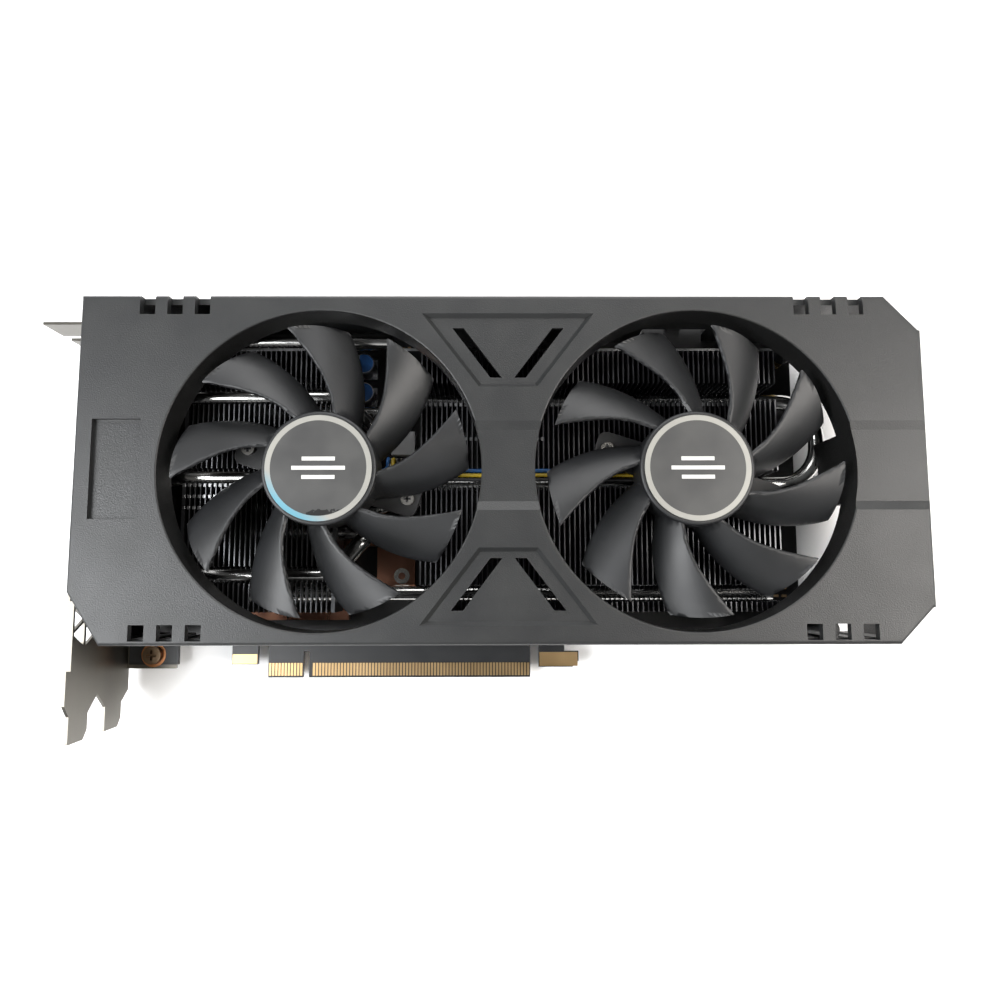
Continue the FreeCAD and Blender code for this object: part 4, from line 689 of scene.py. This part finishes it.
def disc(name: str, middle: Vector, radius: float, thick: float, inner: float = 0.0,
         keep: Vector | None = None, segments: int = 40) -> bpy.types.Object:
    """Make a thin disc or ring standing on a point.

    Args:
        name: the piece's name.
        middle: the middle of its lower face.
        radius: its outer radius.
        thick: its thickness.
        inner: the radius of its hole, or nothing for a whole disc.
        keep: if given, only the part beyond the point middle + keep is left.
        segments: the sides of its outline.

    Returns:
        The piece.
    """
    sizes = rounded(radius, thick, inner, segments, *(keep or ()))
    copy = MODELS.again(sizes, name, middle)
    if copy is not None:
        return copy
    deselect()
    bpy.ops.mesh.primitive_circle_add(vertices=segments, radius=radius, fill_type="NGON", location=middle)
    piece = bpy.context.object
    bpy.ops.object.mode_set(mode="EDIT")
    bpy.ops.mesh.select_all(action="SELECT")
    if inner > 0.0:
        bpy.ops.mesh.inset(thickness=radius - inner, depth=0.0)
        bpy.ops.mesh.delete(type="FACE")
        bpy.ops.mesh.select_all(action="SELECT")
    if keep is not None:
        bpy.ops.mesh.bisect(plane_co=middle + keep, plane_no=keep.normalized(), clear_inner=True)
        bpy.ops.mesh.select_all(action="SELECT")
    bpy.ops.mesh.extrude_region_move(TRANSFORM_OT_translate={"value": (0, 0, thick)})
    bpy.ops.mesh.select_all(action="SELECT")
    bpy.ops.mesh.normals_make_consistent(inside=False)
    bpy.ops.object.mode_set(mode="OBJECT")
    settle(piece, name)
    MODELS.keep(sizes, piece, middle)
    return piece


def plate(name: str, low: Vector, high: Vector, bevel: float = 0.0) -> bpy.types.Object:
    """Raise a small block from a rectangle, with softened edges if asked.

    Args:
        name: the piece's name.
        low: its low corner.
        high: its high corner.
        bevel: the width of the softened edges.

    Returns:
        The piece.
    """
    span = high - low
    sizes = rounded(*span, bevel)
    copy = MODELS.again(sizes, name, low)
    if copy is not None:
        return copy
    deselect()
    bpy.ops.mesh.primitive_plane_add(size=1.0, location=low + Vector((span.x, span.y, 0)) / 2)
    piece = bpy.context.object
    piece.scale = (span.x, span.y, 1.0)
    settle(piece, name)
    bpy.ops.object.mode_set(mode="EDIT")
    bpy.ops.mesh.select_all(action="SELECT")
    bpy.ops.mesh.extrude_region_move(TRANSFORM_OT_translate={"value": (0, 0, span.z)})
    bpy.ops.mesh.select_all(action="SELECT")
    bpy.ops.mesh.normals_make_consistent(inside=False)
    if bevel > 0.0:
        bpy.ops.mesh.bevel(offset=bevel, segments=1, affect="EDGES")
    bpy.ops.object.mode_set(mode="OBJECT")
    MODELS.keep(sizes, piece, low)
    return piece


def finish_piece(piece: bpy.types.Object, finish: Finish, body: str) -> bpy.types.Object:
    """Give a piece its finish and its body.

    Args:
        piece: the object.
        finish: its finish.
        body: the body it rides.

    Returns:
        The same object.
    """
    FINISHES.dress(piece, finish)
    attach(piece, body)
    LOG.info("piece %s: %s, rides %s", piece.name, finish.name, body)
    return piece


# ---------------------------------------------------------------- the fans
@dataclass
class HubLabel:
    """The printed label on one hub: dark film, silver ring and a plain mark."""

    side: Side
    ring_outer: float = 15.0 * MM
    ring_inner: float = 13.5 * MM
    rise: float = 0.02 * MM
    segments: int = 128
    bar_length: float = 15.0 * MM
    bar_height: float = 1.1 * MM
    bar_pitch: float = 2.6 * MM
    bar_shares: tuple[float, ...] = (0.62, 1.0, 0.62)

    def centre(self) -> Vector:
        """The middle of the label's face."""
        low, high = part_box(f"hub_label_{self.side.value}")
        return Vector(((low.x + high.x) / 2, (low.y + high.y) / 2, high.z))

    def build(self) -> None:
        """Make the ring and the plain mark over the film."""
        self.ring()
        self.mark()

    def mark(self) -> None:
        """Make three plain bars, the middle one longest."""
        middle = self.centre()
        for index, share in enumerate(self.bar_shares, 1):
            half = Vector((self.bar_length * share / 2, self.bar_height / 2, 0))
            base = middle + Vector((0, (2 - index) * self.bar_pitch, 0))
            bar = plate(f"mark_{self.side.value}_{index}", base - half, base + half + Vector((0, 0, self.rise)))
            finish_piece(bar, LABEL_MARK, f"fan_{self.side.value}")

    def ring(self) -> None:
        """Make the silver ring as a thin band."""
        band = disc(f"silver_ring_{self.side.value}", self.centre(), self.ring_outer, self.rise,
                    inner=self.ring_inner, segments=self.segments)
        # The left ring carries a painted blue sheen on one side.
        ring_look = SHEEN_PAINTED_RING if self.side is Side.LEFT else LABEL_RING
        finish_piece(band, ring_look, f"fan_{self.side.value}")


@dataclass
class Fan:
    """One fan's visible pieces."""

    side: Side
    crease_degrees: float = 32.0

    def build(self) -> None:
        """Make the smooth rotor and the hub's label."""
        name = f"rotor_{self.side.value}"
        rotor = smooth_twin(name, f"bladed_{name}", self.crease_degrees)
        finish_piece(rotor, BLADE_PBT, f"fan_{self.side.value}")
        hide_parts(name)
        HubLabel(self.side).build()


# ---------------------------------------------------------------- the board and its parts
@dataclass
class BoardDetails:
    """Printed can tops, plated lands on the board's tabs and rings round its screws."""

    film: float = 0.05 * MM
    can_share: float = 0.9
    crescent_share: float = 0.45
    tab_low: Vector = field(default_factory=lambda: Vector((-23.7, 4.4, 0)) * MM)
    tab_high: Vector = field(default_factory=lambda: Vector((-15.8, 7.4, 0)) * MM)
    hook_low: Vector = field(default_factory=lambda: Vector((75.2, 3.5, 0)) * MM)
    hook_high: Vector = field(default_factory=lambda: Vector((87.5, 7.9, 0)) * MM)
    ring_share: float = 1.35
    ring_hole_share: float = 1.04
    boss_outer: float = 2.5 * MM
    boss_inner: float = 1.1 * MM
    boss_rise: float = 0.3 * MM

    def build(self) -> None:
        """Make every piece."""
        self.can_tops()
        self.lands()
        self.screw_rings()
        self.bosses()

    def bosses(self) -> None:
        """Press a threaded boss into each of the cold plate's two free lobes."""
        low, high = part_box("cold_plate")
        middle_x = (low.x + high.x) / 2
        for index, (near, far) in enumerate(islands("retention_screws"), 1):
            centre = Vector(((near.x + far.x) / 2, (near.y + far.y) / 2, high.z))
            if centre.x > middle_x:
                boss = disc(f"lobe_boss_{index}", centre, self.boss_outer, self.boss_rise,
                            inner=self.boss_inner)
                finish_piece(boss, SCREW_NICKEL, "card")

    def can_tops(self) -> None:
        """Print each can's top blue, with a bare crescent on the bracket side."""
        for index, (low, high) in enumerate(islands("polymer_capacitors"), 1):
            radius = (high.x - low.x) / 2 * self.can_share
            middle = Vector(((low.x + high.x) / 2, (low.y + high.y) / 2, high.z))
            top = disc(f"can_top_{index}", middle, radius, self.film)
            finish_piece(top, CAN_BLUE, "card")
            mark = disc(f"can_crescent_{index}", middle + Vector((0, 0, self.film)), radius, self.film / 2,
                        keep=Vector((-radius * self.crescent_share, 0, 0)))
            finish_piece(mark, CAN_METAL, "card")

    def lands(self) -> None:
        """Plate the small tab and the retention hook."""
        spots = (("tab_land", self.tab_low, self.tab_high), ("hook_land", self.hook_low, self.hook_high))
        for name, low, high in spots:
            piece = plate(name, low, high + Vector((0, 0, self.film)))
            finish_piece(piece, CONTACT_GOLD, "card")

    def screw_rings(self) -> None:
        """Lay a plated ring on the board round each bracket screw."""
        board_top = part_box("pcb")[1].z
        for index, (low, high) in enumerate(islands("bracket_screws"), 1):
            radius = (high.x - low.x) / 2
            middle = Vector(((low.x + high.x) / 2, (low.y + high.y) / 2, board_top))
            ring = disc(f"screw_land_{index}", middle, radius * self.ring_share, self.film,
                        inner=radius * self.ring_hole_share)
            finish_piece(ring, LAND_COPPER, "card")


@dataclass
class DriveRecesses:
    """Painted shade for the crossed recesses in the heads of the screws that face the fans: flat dark crosses
    laid on each head.
    """

    node: str
    slot: str
    arm_share: float = 0.55
    width_share: float = 0.17
    rise: float = 0.03 * MM

    def build(self) -> None:
        """Make two crossed arms on every head."""
        for index, (low, high) in enumerate(islands(self.node), 1):
            radius = (high.x - low.x) / 2
            long, short = radius * self.arm_share, radius * self.width_share
            base = Vector(((low.x + high.x) / 2, (low.y + high.y) / 2, high.z))
            for turn, (x, y) in (("a", (long, short)), ("b", (short, long))):
                half = Vector((x, y, 0))
                # Each arm is a thin flat dark plate on the head: painted shade, not a cut.
                arm = plate(f"{self.node}_recess_{index}{turn}", base - half,
                            base + half + Vector((0, 0, self.rise)))
                finish_piece(arm, RECESS_PAINTED_SHADE, "card")


@dataclass
class FinTeeth:
    """A row of the small folded tabs that lock neighbouring fins together."""

    name: str
    node: str
    place: float
    first: int
    count: int
    pitch: float = 1.54 * MM
    inset_share: float = 0.12
    tab: tuple[float, float, float] = (0.95 * MM, 1.1 * MM, 0.3 * MM)
    soften: float = 0.08 * MM

    def build(self) -> None:
        """Make one tab, repeat it along the stack and set it on the fins' top edge."""
        low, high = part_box(self.node)
        start = Vector((low.x + (self.first + self.inset_share) * self.pitch, self.place, high.z))
        piece = plate(self.name, start, start + Vector(self.tab), self.soften)
        repeat = piece.modifiers.new("row", "ARRAY")
        repeat.count = self.count
        repeat.use_relative_offset = False
        repeat.use_constant_offset = True
        repeat.constant_offset_displace = (self.pitch, 0, 0)
        choose(piece)
        bpy.ops.object.modifier_apply(modifier="row")
        # Painted highlight: the tabs are drawn lighter than the fins they stand on.
        finish_piece(piece, FIN_HIGHLIGHT, "card")


@dataclass
class StackLip:
    """The folded lip along the far edge of a fin stack, drawn bright as a painted highlight."""

    node: str
    width: float = 0.8 * MM
    thick: float = 0.25 * MM
    soften: float = 0.07 * MM

    def build(self) -> None:
        """Make the lip on top of the fins' ends."""
        low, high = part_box(self.node)
        start = Vector((low.x, high.y - self.width, high.z))
        lip = plate(f"{self.node}_lip", start, Vector((high.x, high.y, high.z + self.thick)), self.soften)
        # Painted highlight: the lip is drawn lighter than the fins.
        finish_piece(lip, FIN_HIGHLIGHT, "card")


# ---------------------------------------------------------------- room
@dataclass(frozen=True)
class SoftBox:
    """One square soft light and the point it shines at."""

    name: str
    place: tuple[float, float, float]
    aim: tuple[float, float, float]
    side: float
    watts: float
    tint: tuple[float, float, float] = (1.0, 1.0, 1.0)

    def hang(self) -> None:
        """Make the light."""
        data = bpy.data.lights.new(self.name, "AREA")
        data.shape = "SQUARE"
        data.size = self.side
        data.energy = self.watts
        data.color = self.tint
        lamp = bpy.data.objects.new(self.name, data)
        lamp.location = self.place
        lamp.rotation_euler = (Vector(self.aim) - Vector(self.place)).to_track_quat("-Z", "Y").to_euler()
        bpy.context.scene.collection.objects.link(lamp)


SOFT_BOXES = (
    SoftBox("left soft box", (-0.34, -0.05, 0.42), (-0.02, 0.05, 0.0), 0.34, 5.0, tint=(0.97, 0.985, 1.0)),
    SoftBox("right soft box", (0.48, 0.05, 0.42), (0.15, 0.06, 0.0), 0.34, 3.8, tint=(1.0, 0.96, 0.915)),
    SoftBox("front soft box", (0.06, -0.62, 0.50), (0.06, 0.03, 0.0), 0.6, 0.8),
    SoftBox("rear soft box", (0.06, 0.85, 0.60), (0.06, 0.08, 0.0), 0.8, 10.0),
)


@dataclass
class Studio:
    """Plain pale floor, soft lights and the camera."""

    eye: tuple[float, float, float] = (0.06087, 0.03109, 0.25208)
    tilt_degrees: tuple[float, float, float] = (-5.944, 0.373, 0.0595)
    lens_mm: float = 27.656
    near_clip: float = 0.01
    floor_size: float = 4.0
    floor_centre: tuple[float, float] = (0.06, 0.06)
    floor_gap: float = 0.2 * MM
    floor_colour: str = "ffffff"
    floor_roughness: float = 0.9
    floor_gloss: float = 0.1
    room_strength: float = 0.4
    wall_height: float = 0.35
    ceiling_height: float = 0.92
    ceiling: float = 0.12

    def build(self) -> None:
        """Make the floor, lights, world and camera."""
        self.floor()
        self.lights()
        self.camera()

    def floor(self) -> None:
        """Make the floor under the card's lowest point."""
        deselect()
        place = (*self.floor_centre, CAD_BOX[0][2] - self.floor_gap)
        bpy.ops.mesh.primitive_plane_add(size=self.floor_size, location=place)
        ground = settle(bpy.context.object, "studio_floor")
        # Uncoated white paper: flat and matt, so the card's shadow stays soft.
        made = bpy.data.materials.new("matt white paper")
        made.use_nodes = True
        shader = made.node_tree.nodes["Principled BSDF"]
        shader.inputs["Base Color"].default_value = linear(self.floor_colour)
        shader.inputs["Roughness"].default_value = self.floor_roughness
        shader.inputs["Specular IOR Level"].default_value = self.floor_gloss
        ground.data.materials.append(made)

    def lights(self) -> None:
        """Hang soft lights round the card and fill the room with pale light."""
        world = bpy.data.worlds.new("pale studio")
        bpy.context.scene.world = world
        world.use_nodes = True
        tree = world.node_tree
        way = add_node(tree, "ShaderNodeTexCoord").outputs["Generated"]
        up = add_node(tree, "ShaderNodeSeparateXYZ", links={"Vector": way}).outputs["Z"]
        shade = ramp(tree, up, [(self.wall_height, (1, 1, 1, 1)),
                                (self.ceiling_height, (self.ceiling, self.ceiling, self.ceiling, 1))])
        background = tree.nodes["Background"]
        tree.links.new(shade, background.inputs["Color"])
        background.inputs["Strength"].default_value = self.room_strength
        for soft_box in SOFT_BOXES:
            soft_box.hang()

    def camera(self) -> None:
        """Set the camera over the card."""
        data = bpy.data.cameras.new("studio camera")
        data.lens = self.lens_mm
        data.clip_start = self.near_clip
        camera = bpy.data.objects.new("studio camera", data)
        about_x, about_y, about_z = (math.radians(angle) for angle in self.tilt_degrees)
        turn = (Matrix.Rotation(about_z, 4, "Z") @ Matrix.Rotation(about_y, 4, "Y")
                @ Matrix.Rotation(about_x, 4, "X")).inverted()
        camera.matrix_world = Matrix.Translation(self.eye) @ turn
        bpy.context.scene.collection.objects.link(camera)
        bpy.context.scene.camera = camera


FIN_ROWS = (
    FinTeeth("tooth_row_1", "fin_stack_right", place=83.6 * MM, first=0, count=69),
    FinTeeth("tooth_row_2", "fin_stack_right", place=73.0 * MM, first=9, count=20),
    FinTeeth("tooth_row_3", "fin_stack_left", place=52.2 * MM, first=0, count=10),
    FinTeeth("tooth_row_4", "fin_stack_left", place=55.6 * MM, first=0, count=10),
    FinTeeth("tooth_row_5", "fin_stack_left", place=59.0 * MM, first=0, count=10),
)


def main() -> None:
    """Dress the frame, build each sub-assembly and set the studio."""
    for node, finish in NODE_FINISHES.items():
        FINISHES.dress(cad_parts[node], finish)
        LOG.info("node %s: %s", node, finish.name)
    for side in Side:
        Fan(side).build()
    BoardDetails().build()
    for node, slot in (("fan_frame_screws", "screw_steel"), ("shroud_screws", "screw_black")):
        DriveRecesses(node, slot).build()
    for row in FIN_ROWS:
        row.build()
    for node in ("fin_stack_left", "fin_stack_right"):
        StackLip(node).build()
    Studio().build()
    bpy.context.scene.view_settings.view_transform = "Standard"


if __name__ == "__main__":
    main()
